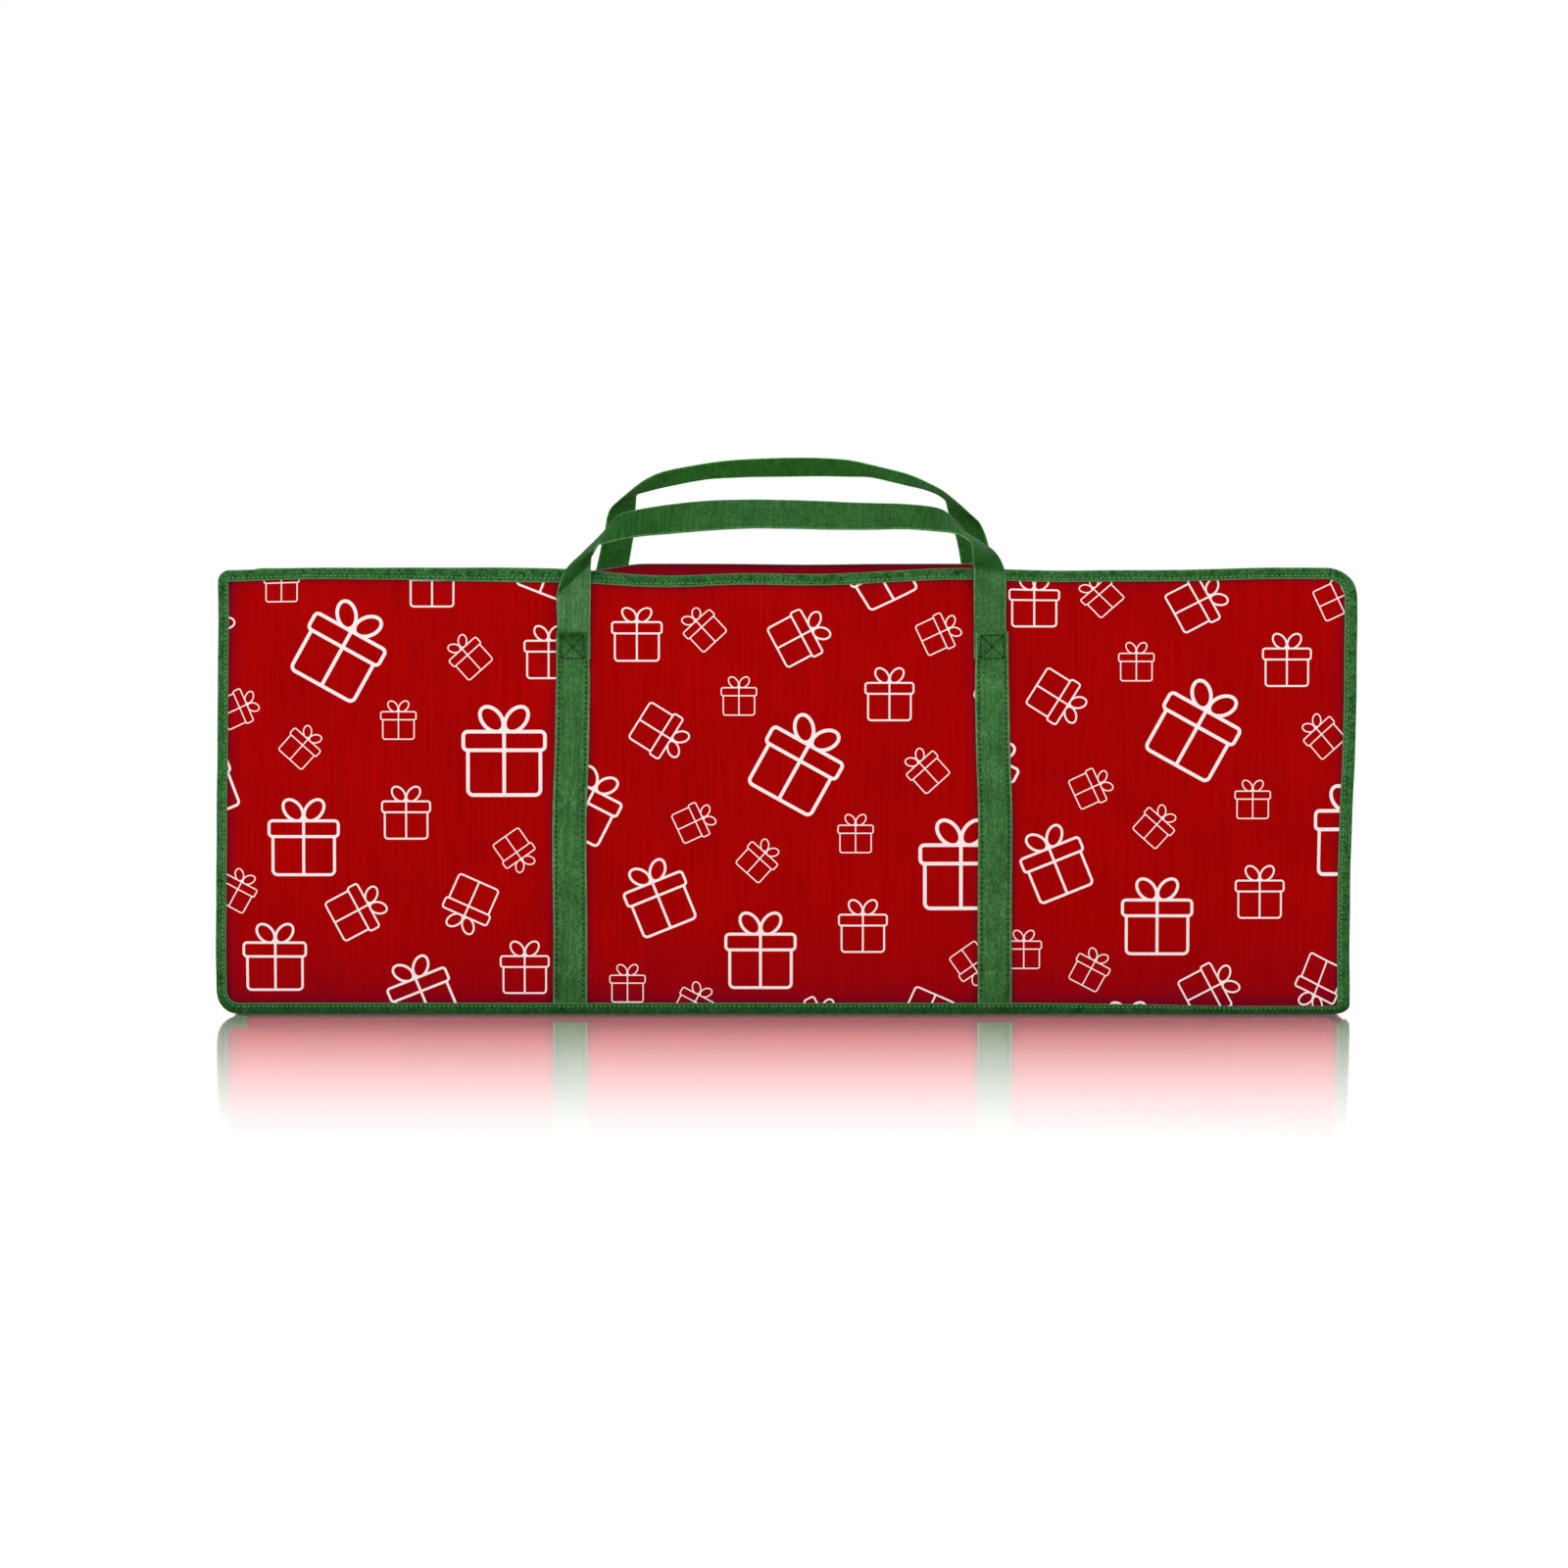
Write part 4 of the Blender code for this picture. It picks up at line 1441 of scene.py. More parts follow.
@dataclass
class FaceStrap:
    """A flat strap up a face, folded under at its top, with its edge rows and its box of stitches."""

    shape: FaceShape
    materials: Materials
    side: str
    width: float = 0.0250
    thickness: float = 0.0012
    drawn_head: float = 0.045
    foot: float = 0.0045
    foot_row: float = 0.0130
    head: float = 0.2815
    fold: float = 0.00075
    fold_start: float = 0.0008
    step: float = 0.0035
    standoff: float = 0.0010
    box_drop: float = 0.0022
    buckle: float = 0.00030
    tuck: float = 0.00035
    cup: float = 0.00025
    drawn_from: Flat = (0.235, 0.275)
    lap_foot: float = 0.2605
    lap_rise: float = 0.0016
    edge_row: float = 0.0027
    row_pitch: float = 0.0038
    row_stitch: float = 0.0021
    thread: float = 0.00055
    box_size: float = 0.0170
    box_pitch: float = 0.0026

    def __post_init__(self) -> None:
        """Find the strap's place from its solid."""
        low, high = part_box(f"{self.shape.facing.word}_strap_{self.side}")
        self.u = -self.shape.facing.value * (low.x + high.x) / 2
        stitch_low, stitch_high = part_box(f"{self.shape.facing.word}_box_stitch_{self.side}")
        self.box_z = (stitch_low.z + stitch_high.z) / 2 - self.box_drop

    def middle(self, z: float) -> float:
        """The strap's centre line at a height."""
        return self.shape.strap_line(self.u, z) + 0.0004 * ripple(z * 18, self.u * 50)

    def stand(self, z: float) -> float:
        """How far the strap's middle layer stands off the cloth at a height."""
        lift = self.lap_rise * ease(self.lap_foot - 0.004, self.lap_foot + 0.001, z)
        free = ease(0.262, 0.22, z) * ease(0.02, 0.05, z)
        buckle = self.buckle * (1 + ripple(z * 55, self.u * 30)) * free
        tucked = -self.tuck * ease(0.012, 0.006, z)
        return self.standoff + lift + buckle + tucked

    def path(self) -> list[tuple[float, float]]:
        """Heights and standoffs up the strap and round the fold at its head.

        Returns:
            The points of the strap's middle layer.
        """
        turn_z = self.head - self.fold_start
        points = [(z, self.stand(z)) for z in steps(self.foot, turn_z, self.step)]
        out = self.stand(self.head)
        for degrees in range(30, 181, 30):
            angle = math.radians(degrees)
            points.append((turn_z + self.fold * math.sin(angle), out - self.fold * (1 - math.cos(angle))))
        return points

    def build(self) -> None:
        """Build and dress the strap and its stitches."""
        word = self.shape.facing.word
        path = self.path()
        half = self.width / 2

        def put(station: float, across: float, out: float) -> Vector:
            """A point of the strap."""
            k = int(station)
            z, stand = path[k]
            before, after = path[max(k - 1, 0)], path[min(k + 1, len(path) - 1)]
            up, off = after[0] - before[0], after[1] - before[1]
            length = math.hypot(up, off)
            cup = self.cup * (across / half) ** 2
            drawn = 1 - self.drawn_head * ease(*self.drawn_from, z)
            return self.shape.place(
                self.middle(z) + across * drawn, z - out * off / length, stand + out * up / length - cup,
            )

        def shade(station: float, across: float) -> float:
            """Painted shade: the folded head, the box of stitches below it and the foot are darker."""
            z = path[int(station)][0]
            head_shade, box_shade = (0.80, 0.50) if self.side == "left" else (0.25, 0.22)
            fold = head_shade * ease(self.head - 0.0085, self.head - 0.0070, z)
            box = box_shade * ease(self.head - 0.0185, self.head - 0.0175, z)
            return max(fold, box, 0.45 * ease(0.035, 0.010, z))

        def flow(station: float, across: float, out: float) -> tuple[float, float, float]:
            """The webbing's grain runs up the strap."""
            return (across, path[int(station)][0] + self.u, out)

        strap = PieceMesh()
        section = webbing_section(self.width, self.thickness)
        strap.swept(range(len(path)), section, put, shade, flow)
        piece = strap.build(f"{word}_face_strap_{self.side}", self.materials.webbing)
        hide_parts(f"{word}_strap_{self.side}")
        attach(piece, "bag")
        rows = self.edge_rows().build(f"{word}_strap_edge_stitches_{self.side}", self.materials.thread)
        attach(rows, "bag")
        box = self.box_stitches().build(f"{word}_box_and_cross_{self.side}", self.materials.thread)
        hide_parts(f"{word}_box_stitch_{self.side}")
        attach(box, "bag")

    def surface(self, across: float, z: float) -> Vector:
        """A point on the strap's outer side."""
        return self.shape.place(self.middle(z) + across, z, self.stand(z) + self.thickness / 2 - 0.0001)

    def edge_rows(self) -> PieceMesh:
        """The stitches along both edges.

        Returns:
            The stitches.
        """
        rows = PieceMesh()
        out = Vector((0.0, self.shape.facing.value, 0.0))
        for side in (-1, 1):
            across = side * (self.width / 2 - self.edge_row)
            for z in steps(self.foot_row, self.lap_foot + 0.002, self.row_pitch):
                ends = self.surface(across, z), self.surface(across, z + self.row_stitch)
                rows.stitch(*ends, out, self.thread)
        return rows

    def box_stitches(self) -> PieceMesh:
        """The box and cross of stitches that holds the loop's end.

        Returns:
            The stitches.
        """
        box = PieceMesh()
        out = Vector((0.0, self.shape.facing.value, 0.0))
        reach = self.box_size / 2
        corners = [(-reach, -reach), (reach, -reach), (reach, reach), (-reach, reach)]
        runs = list(zip(corners, corners[1:] + corners[:1])) + [
            (corners[0], corners[2]), (corners[1], corners[3])]
        for (a, b), (c, d) in runs:
            length = math.hypot(c - a, d - b)
            for s in steps(0.0, length - self.box_pitch, self.box_pitch):
                ends = [
                    self.surface(a + (c - a) * t / length, self.box_z + b + (d - b) * t / length)
                    for t in (s + 0.0003, s + self.box_pitch * 0.75)
                ]
                box.stitch(ends[0], ends[1], out, self.thread)
        return box


@dataclass(frozen=True)
class Viewpoint:
    """Where the photograph was taken from: level with the bag's middle and a little above it."""

    front_y: float
    centre_u: float = -0.0018
    centre_z: float = 0.1700
    distance: float = 4.0
    elevation: float = 2.6

    def target(self) -> Vector:
        """The spot on the bag's front that the camera looks at."""
        return Vector((self.centre_u, self.front_y, self.centre_z))

    def eye(self) -> Vector:
        """The camera's place."""
        angle = math.radians(self.elevation)
        return self.target() + self.distance * Vector((0.0, -math.cos(angle), math.sin(angle)))

    def place(self, across: float, up: float, y: float) -> Vector:
        """The point that is seen at a spot of the front face's plane, but lies deeper.

        Args:
            across: Where it is seen along the face, in millimetres.
            up: Where it is seen upwards, in millimetres.
            y: Its real depth in metres.

        Returns:
            The point.
        """
        angle = math.radians(self.elevation)
        behind = y - self.front_y
        seen_x = across / 1000 - self.centre_u
        seen_z = up / 1000 - self.centre_z
        share = 1 + (behind * math.cos(angle) - seen_z * math.sin(angle)) / self.distance
        rise = (seen_z * share - behind * math.sin(angle)) / math.cos(angle)
        return Vector((self.centre_u + seen_x * share, y, self.centre_z + rise))


@dataclass
class CarryingLoop:
    """A loop of webbing, one length from one sewn end to the other.

    Each mark of its route is where its outer edge is seen from the front (across and up), where its
    inner edge is seen, how deep its middle lies, all in millimetres, and how far it takes the darker
    second colour, which is painted shade. The webbing stands edge-on by as much as its edges are seen
    closer than its width.
    """

    facing: Face
    materials: Materials
    view: Viewpoint
    route: tuple[tuple[float, float, float, float, float, float], ...]
    lap_foot: float
    width: float = 0.0250
    thickness: float = 0.0012
    substeps: int = 4
    under_side: float = 0.0
    sewn_y: float = 0.0638
    sewn_zs: Flat = (0.2700, 0.2790)
    closest: float = 0.0004
    sway: float = 0.0004
    cup: float = 0.0006
    crown_zone: Flat = (0.382, 0.397)
    joint_low: float = 0.2835
    joint_high: float = 0.3100

    def marks(self) -> list[list[float]]:
        """The route's marks in place, with the sewn ends below them.

        Returns:
            For each mark the outer edge's place, the inner edge's place and the shade.
        """
        side = self.facing.value
        marks = []
        for outer_u, outer_z, inner_u, inner_z, depth, shade in self.route:
            seen = math.hypot(outer_u - inner_u, outer_z - inner_z) / 1000
            free = ease(300.0, 325.0, outer_z)
            tilt = free * math.sqrt(max(self.width ** 2 - seen ** 2, 0.0)) / 2
            outer = self.view.place(outer_u, outer_z, side * (depth / 1000 - tilt))
            inner = self.view.place(inner_u, inner_z, side * (depth / 1000 + tilt))
            marks.append([*outer, *inner, shade])
        deep = side * self.sewn_y
        start, end = (
            [[mark[0], deep, z, mark[3], deep, z, mark[6]] for z in (self.lap_foot, *self.sewn_zs)]
            for mark in (marks[0], marks[-1])
        )
        return start + marks + end[::-1]

    def stations(self) -> list[list[float]]:
        """The marks joined by a smooth curve.

        Returns:
            The same numbers as a mark's for each station.
        """
        marks = self.marks()
        gaps = [max(math.dist(a[:6], b[:6]), self.closest) for a, b in zip(marks, marks[1:])]
        slopes = []
        for k in range(len(marks)):
            before, after = max(k - 1, 0), min(k, len(gaps) - 1)
            slope = []
            for m in range(7):
                last = (marks[before + 1][m] - marks[before][m]) / gaps[before]
                following = (marks[after + 1][m] - marks[after][m]) / gaps[after]
                share = gaps[before] / (gaps[before] + gaps[after])
                slope.append(last * (1 - share) + following * share)
            slopes.append(slope)
        curve = []
        for k, gap in enumerate(gaps):
            courses = list(zip(marks[k], marks[k + 1], slopes[k], slopes[k + 1]))
            for step in range(self.substeps):
                curve.append([
                    blend_values(step / self.substeps, first, last, gap * leaving, gap * arriving)
                    for first, last, leaving, arriving in courses
                ])
        curve.append(marks[-1])
        return curve

    def build(self) -> None:
        """Build and dress the loop."""
        word = self.facing.word
        side = self.facing.value
        path = self.stations()
        middles = [(Vector(p[:3]) + Vector(p[3:6])) / 2 for p in path]
        frames = []
        run = [0.0]
        for k, place in enumerate(path):
            ahead = (middles[min(k + 1, len(path) - 1)] - middles[max(k - 1, 0)]).normalized()
            edge = Vector(place[:3]) - Vector(place[3:6])
            out = -side * ahead.cross(edge).normalized()
            frames.append((middles[k], edge / self.width, out))
            if k:
                run.append(run[-1] + (middles[k] - middles[k - 1]).length)
        half = self.width / 2

        def put(station: float, across: float, out: float) -> Vector:
            """A point of the webbing."""
            spot, sideways, outwards = frames[int(station)]
            free = ease(0.300, 0.320, spot.z)
            sway = self.sway * ripple(run[int(station)] * 45, across * 40, side * 3.0)
            cup = self.cup * (across / half) ** 2
            return spot + sideways * across + outwards * (out + (sway - cup) * free)

        loop = PieceMesh()
        section = webbing_section(self.width, self.thickness)
        loop.swept(range(len(path)), section, put)
        for k, distance in enumerate(run):
            # Painted light: where set, the inside of the crown takes the bright main colour; the route's
            # last column paints shade elsewhere.
            crown = self.under_side * ease(*self.crown_zone, middles[k].z)
            for m, (across, out) in enumerate(section):
                number = k * len(section) + m
                loop.cloth[number] = (across, distance, out)
                under = crown * ease(0.0002, -0.0002, out)
                loop.shade[number] = min(max(path[k][6], 0.0), 1.0) * (1 - under)
        finish = self.materials.front_loop if self.facing is Face.FRONT else self.materials.back_loop
        piece = loop.build(f"{word}_carrying_loop", finish)
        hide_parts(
            f"{word}_handle", f"{word}_handle_lap_left", f"{word}_handle_lap_right")
        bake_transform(piece)


@dataclass(frozen=True)
class TopShape:
    """The bag's top, which bellies up a little along the zip."""

    level: float
    half_depth: float
    end_rise: float = 0.0012
    middle_rise: float = 0.0072
    dip: float = 0.0006
    dip_x: float = 0.0130
    dip_reach: float = 0.045
    flat_from: float = 0.300
    flat_to: float = 0.345
    left_reach: Flat = (0.156, 0.104)
    right_reach: Flat = (0.168, 0.136)
    roundness: float = 2.2
    folds: float = 0.0007

    def room(self, y: float) -> float:
        """How freely the cloth stands out, from 0 at its seams to 1 at the middle."""
        return 1 - min(abs(y) / self.half_depth, 1.0) ** self.roundness

    def place(self, x: float, y: float, out: float = 0.0) -> Vector:
        """A point of the top.

        Args:
            x: Place along the bag.
            y: Place across the top.
            out: Height over the cloth.

        Returns:
            The point.
        """
        reach = self.left_reach if x < 0 else self.right_reach
        rise = self.end_rise + (self.middle_rise - self.end_rise) * ease(*reach, abs(x))
        rise *= ease(self.flat_to, self.flat_from, abs(x))
        rise -= self.dip * bump(x, self.dip_x, self.dip_reach)
        room = self.room(y)
        folds = self.folds * ripple(x * 16, y * 30, 1.0) * min(room, 4 * abs(y) / self.half_depth)
        return Vector((x, y, self.level + rise * room + folds + out))


@dataclass
class Gusset:
    """The one band of cloth from the top's left end, down, along the bottom and up to its right end."""

    materials: Materials
    top: TopShape
    side_x: float
    corner: float
    mouth_x: float
    slot_x: float
    slot_half: float
    thickness: float = 0.0006
    patch: float = 0.0040
    row: float = 0.0060
    corner_steps: int = 8
    end_fullness: float = 0.0030
    end_folds: float = 0.0012
    end_reach: float = 0.09

    def profile(self) -> list[tuple[float, float, float, float]]:
        """The band's line seen from the front.

        Returns:
            Points of x, z and the way out of the cloth in x and z.
        """
        line = []
        inner = self.side_x - self.corner
        high = self.top.level - self.corner
        for x in steps(self.mouth_x, inner, self.patch)[:-1]:
            line.append((x, self.top.level, 0.0, 1.0))
        line += self.bend(inner, high, 90)
        for z in steps(high, self.corner, self.patch)[1:-1]:
            line.append((self.side_x, z, 1.0, 0.0))
        line += self.bend(inner, self.corner, 0)
        for x in steps(inner, 0.0, self.patch)[1:-1]:
            line.append((x, 0.0, 0.0, -1.0))
        left = [(-x, z, -a, b) for x, z, a, b in line]
        return left + [(0.0, 0.0, 0.0, -1.0)] + line[::-1]

    def bend(self, x: float, z: float, start: float) -> list[tuple[float, float, float, float]]:
        """A quarter turn of the line round a corner's centre, clockwise from a direction in degrees."""
        angles = [math.radians(start - 90 * k / self.corner_steps) for k in range(self.corner_steps + 1)]
        return [
            (x + self.corner * math.cos(a), z + self.corner * math.sin(a), math.cos(a), math.sin(a))
            for a in angles
        ]

    def build(self) -> None:
        """Build and dress the band."""
        line = self.profile()
        half = self.top.half_depth
        run = [0.0]
        for (x, z, _, _), (next_x, next_z, _, _) in zip(line, line[1:]):
            run.append(run[-1] + math.hypot(next_x - x, next_z - z))

        def put(y: float, station: float, out: float) -> Vector:
            """A point of the band."""
            x, z, out_x, out_z = line[int(station)]
            if out_z > 0.99:
                return self.top.place(x, y, out)
            belly = 0.0
            if z > 0.002:
                mid = ease(0.0, self.end_reach, z) * ease(0.0, self.end_reach, self.top.level - z)
                crease = self.end_folds * ripple(z * 14, y * 20, math.copysign(4.0, x))
                belly = self.top.room(y) * mid * (self.end_fullness + crease)
            return Vector((x + out_x * (belly + out), y, z + out_z * (belly * (out_z > 0) + out)))

        ys = steps(-half, -self.slot_half, self.row) + steps(self.slot_half, half, self.row)

        def keep(y: float, station: float) -> bool:
            """The zip's slot stays open."""
            x, z, _, _ = line[int(station)]
            return abs(y) > self.slot_half or abs(x) > self.slot_x or z < LOW_HALF

        def shade(y: float, station: float) -> float:
            """Painted shade: the cloth is darker along its seams and on the top."""
            level = self.top.level
            top_shade = 0.15 + 0.35 * ease(level - self.corner, level, line[int(station)][1])
            return 0.5 * (1 - top_shade) * math.exp(-(half - abs(y)) / 0.004) + top_shade

        band = PieceMesh()
        band.shell(ys, range(len(line)), put, self.thickness, keep=keep, shade=shade)
        for height_side in range(2):
            offset = height_side * len(ys) * len(line)
            for i, y in enumerate(ys):
                for j, distance in enumerate(run):
                    band.cloth[offset + i * len(line) + j] = (y, distance, -height_side * self.thickness)
        piece = band.build("gusset_band", self.materials.cloth)
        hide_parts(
            "bottom_panel", "left_end_panel", "right_end_panel", "left_top_strip", "right_top_strip")
        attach(piece, "bag")


def plate_layers(low: float, high: float, bevel: float) -> list[Flat]:
    """The heights of a bevelled plate's outlines, and how far each is cut back."""
    return [(low, bevel), (low + bevel, 0.0), (high - bevel, 0.0), (high, bevel)]


@dataclass
class BaseBoard:
    """The stiffener that lies on the bottom, with rounded corners."""

    materials: Materials
    radius: float = 0.012
    bevel: float = 0.0006

    def build(self) -> None:
        """Build and dress the board."""
        low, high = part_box("base_board")
        profile = []
        for k, (side_x, side_y) in enumerate(((1, 1), (-1, 1), (-1, -1), (1, -1))):
            for m in range(7):
                a = math.radians(90 * k + 15 * m)
                profile.append((
                    side_x * (high.x - self.radius) + self.radius * math.cos(a),
                    side_y * (high.y - self.radius) + self.radius * math.sin(a),
                ))
        layers = plate_layers(low.z, high.z, self.bevel)

        def put(station: float, x: float, y: float) -> Vector:
            """A point of the board."""
            z, inset = layers[int(station)]
            return Vector((x - math.copysign(inset, x), y - math.copysign(inset, y), z))

        board = PieceMesh()
        board.swept(range(len(layers)), profile, put)
        board.cloth = [(p.x, p.y, p.z) for p in board.points]
        piece = board.build("base_stiffener", self.materials.board)
        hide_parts("base_board")
        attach(piece, "bag")


@dataclass
class TopFlap:
    """One folding half of the top: cloth, zip tape, teeth and the row of stitches between them.

    Each is cut in two at the middle, because its two ends stay sewn to the bag while its middle lifts.
    """

    facing: Face
    materials: Materials
    top: TopShape
    half_length: float
    tape_outer: float
    tape_inner: float
    cloth_thickness: float = 0.0006
    tape_thickness: float = 0.0006
    turned_edge: float = 0.0007
    turned_ys: tuple[float, ...] = (0.0150, 0.0156, 0.0172)
    cloth_edge: float = 0.0180
    cloth_row: float = 0.0052
    tape_lift: float = 0.0002
    free_from: float = 0.2000
    patch: float = 0.0040
    tooth_pitch: float = 0.0026
    tooth_length: float = 0.0014
    tooth_height: float = 0.0022
    tooth_sink: float = 0.00075
    stitch_pitch: float = 0.0032
    stitch_length: float = 0.0020
    stitch_y: float = 0.0166
    thread: float = 0.00026

    def build(self) -> None:
        """Build and dress both halves of the flap."""
        for side, sign in zip(SIDES, (-1, 1)):
            self.half(side, sign)

    def half(self, side: str, sign: int) -> None:
        """Build one half.

        Args:
            side: Its name, left or right.
            sign: The side of X that it is on.
        """
        word = self.facing.word
        facing = self.facing.value
        xs = [sign * x for x in steps(0.0, self.half_length, self.patch)]
        outer = self.top.half_depth
        cloth_ys = [*self.turned_ys, *steps(self.cloth_edge, outer, self.cloth_row)]

        def lay(x: float, y: float, out: float) -> Vector:
            """A point of the cloth, doubled where its edge is turned in beside the zip."""
            turned = self.turned_edge * ease(0.0184, 0.0170, y) * ease(0.0148, 0.0154, y)
            return self.top.place(x, facing * y, out + (turned if out >= 0 else 0.0))

        def lay_tape(x: float, y: float, out: float) -> Vector:
            """A point of the zip's tape, a little under the cloth."""
            return self.top.place(x, facing * y, out + self.tape_lift)

        def shade(x: float, y: float) -> float:
            """Painted shade: the cloth is darker along its seams."""
            return 0.45 * math.exp(-(outer - y) / 0.004) + 0.25 * ease(0.020, 0.016, y)

        cloth = PieceMesh()
        cloth.shell(xs, cloth_ys, lay, self.cloth_thickness, shade=shade)
        cloth.cloth = [(b, a, c) for a, b, c in cloth.cloth]
        tape = PieceMesh()
        tape_ys = [self.tape_inner - 0.0006, 0.0060, 0.0090, 0.0120, self.tape_outer + 0.0020]
        tape.shell(xs, tape_ys, lay_tape, self.tape_thickness)
        pieces = (
            (cloth.build(f"{word}_flap_cloth_{side}", self.materials.lining), "top_flap", "red_fabric"),
            (tape.build(f"{word}_zip_tape_{side}", self.materials.zip_tape), "zip_tape", "zip_tape"),
            (self.teeth(sign).build(f"{word}_zip_teeth_{side}", self.materials.zip_teeth),
             "zip_teeth", "zip_teeth"),
            (self.stitches(sign).build(f"{word}_zip_stitches_{side}", self.materials.thread), "", ""),
        )
        for piece, node, slot in pieces:
            if node:
                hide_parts(f"{word}_{node}")
            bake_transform(piece)

    def teeth(self, sign: int) -> PieceMesh:
        """Moulded teeth along one half, set between those of the other tape.

        Args:
            sign: The side of X that they are on.

        Returns:
            The teeth.
        """
        row = PieceMesh()
        facing = self.facing.value
        offset = self.tooth_pitch / 4 * facing
        half, tall = self.tooth_length / 2, self.tooth_height / 2
        section = [(-half, -tall * 0.6), (-half * 0.6, -tall), (half * 0.6, -tall), (half, -tall * 0.6),
                   (half, tall * 0.6), (half * 0.6, tall), (-half * 0.6, tall), (-half, tall * 0.6)]
        # Along a tooth: its clamp on the tape, its waist and its rounded head past the middle line.
        spans = ((0.0052, 0.75), (0.0046, 1.0), (0.0030, 1.0), (0.0018, 0.62), (0.0006, 0.92),
                 (-0.0002, 0.95), (-0.0007, 0.55))
        for k in range(int(self.half_length / self.tooth_pitch)):
            x = sign * (k + 0.5) * self.tooth_pitch + offset

            def put(station: float, along: float, up: float) -> Vector:
                """A point of the tooth."""
                reach, girth = spans[int(station)]
                base = self.top.place(x, facing * max(reach, 0.0005), 0.0)
                base.y = facing * reach
                sunk = self.tooth_sink * ease(self.top.flat_from, self.top.flat_to, abs(base.x))
                return base + Vector((along * girth, 0.0, up * girth - sunk))

            row.swept(range(len(spans)), section, put)
        return row

    def stitches(self, sign: int) -> PieceMesh:
        """The row of stitches that holds the zip's tape under the cloth.

        Args:
            sign: The side of X that they are on.

        Returns:
            The stitches.
        """
        row = PieceMesh()
        up = Vector((0.0, 0.0, 1.0))
        y = self.facing.value * self.stitch_y
        for x in steps(0.0012, self.half_length - 0.002, self.stitch_pitch):
            ends = [self.top.place(sign * s, y, self.turned_edge) for s in (x, x + self.stitch_length)]
            row.stitch(*ends, up, self.thread)
        return row


def bevelled_plate(
    mesh: PieceMesh, outline: Sequence[Flat], low: float, high: float, bevel: float
) -> None:
    """Add a flat plate with softened edges.

    Args:
        mesh: The mesh that it joins.
        outline: Its outline in X and Y, anticlockwise.
        low: The height of its underside.
        high: The height of its top.
        bevel: How far its edges are cut back.
    """
    count = len(outline)
    inward = []
    for k, (x, y) in enumerate(outline):
        before, after = outline[k - 1], outline[(k + 1) % count]
        along = Vector((after[0] - before[0], after[1] - before[1])).normalized()
        inward.append((-along.y, along.x))
    rings = [
        [
            mesh.point(Vector((x + a * inset, y + b * inset, z)), (x, y, z))
            for (x, y), (a, b) in zip(outline, inward)
        ]
        for z, inset in plate_layers(low, high, bevel)
    ]
    mesh.skin(rings)


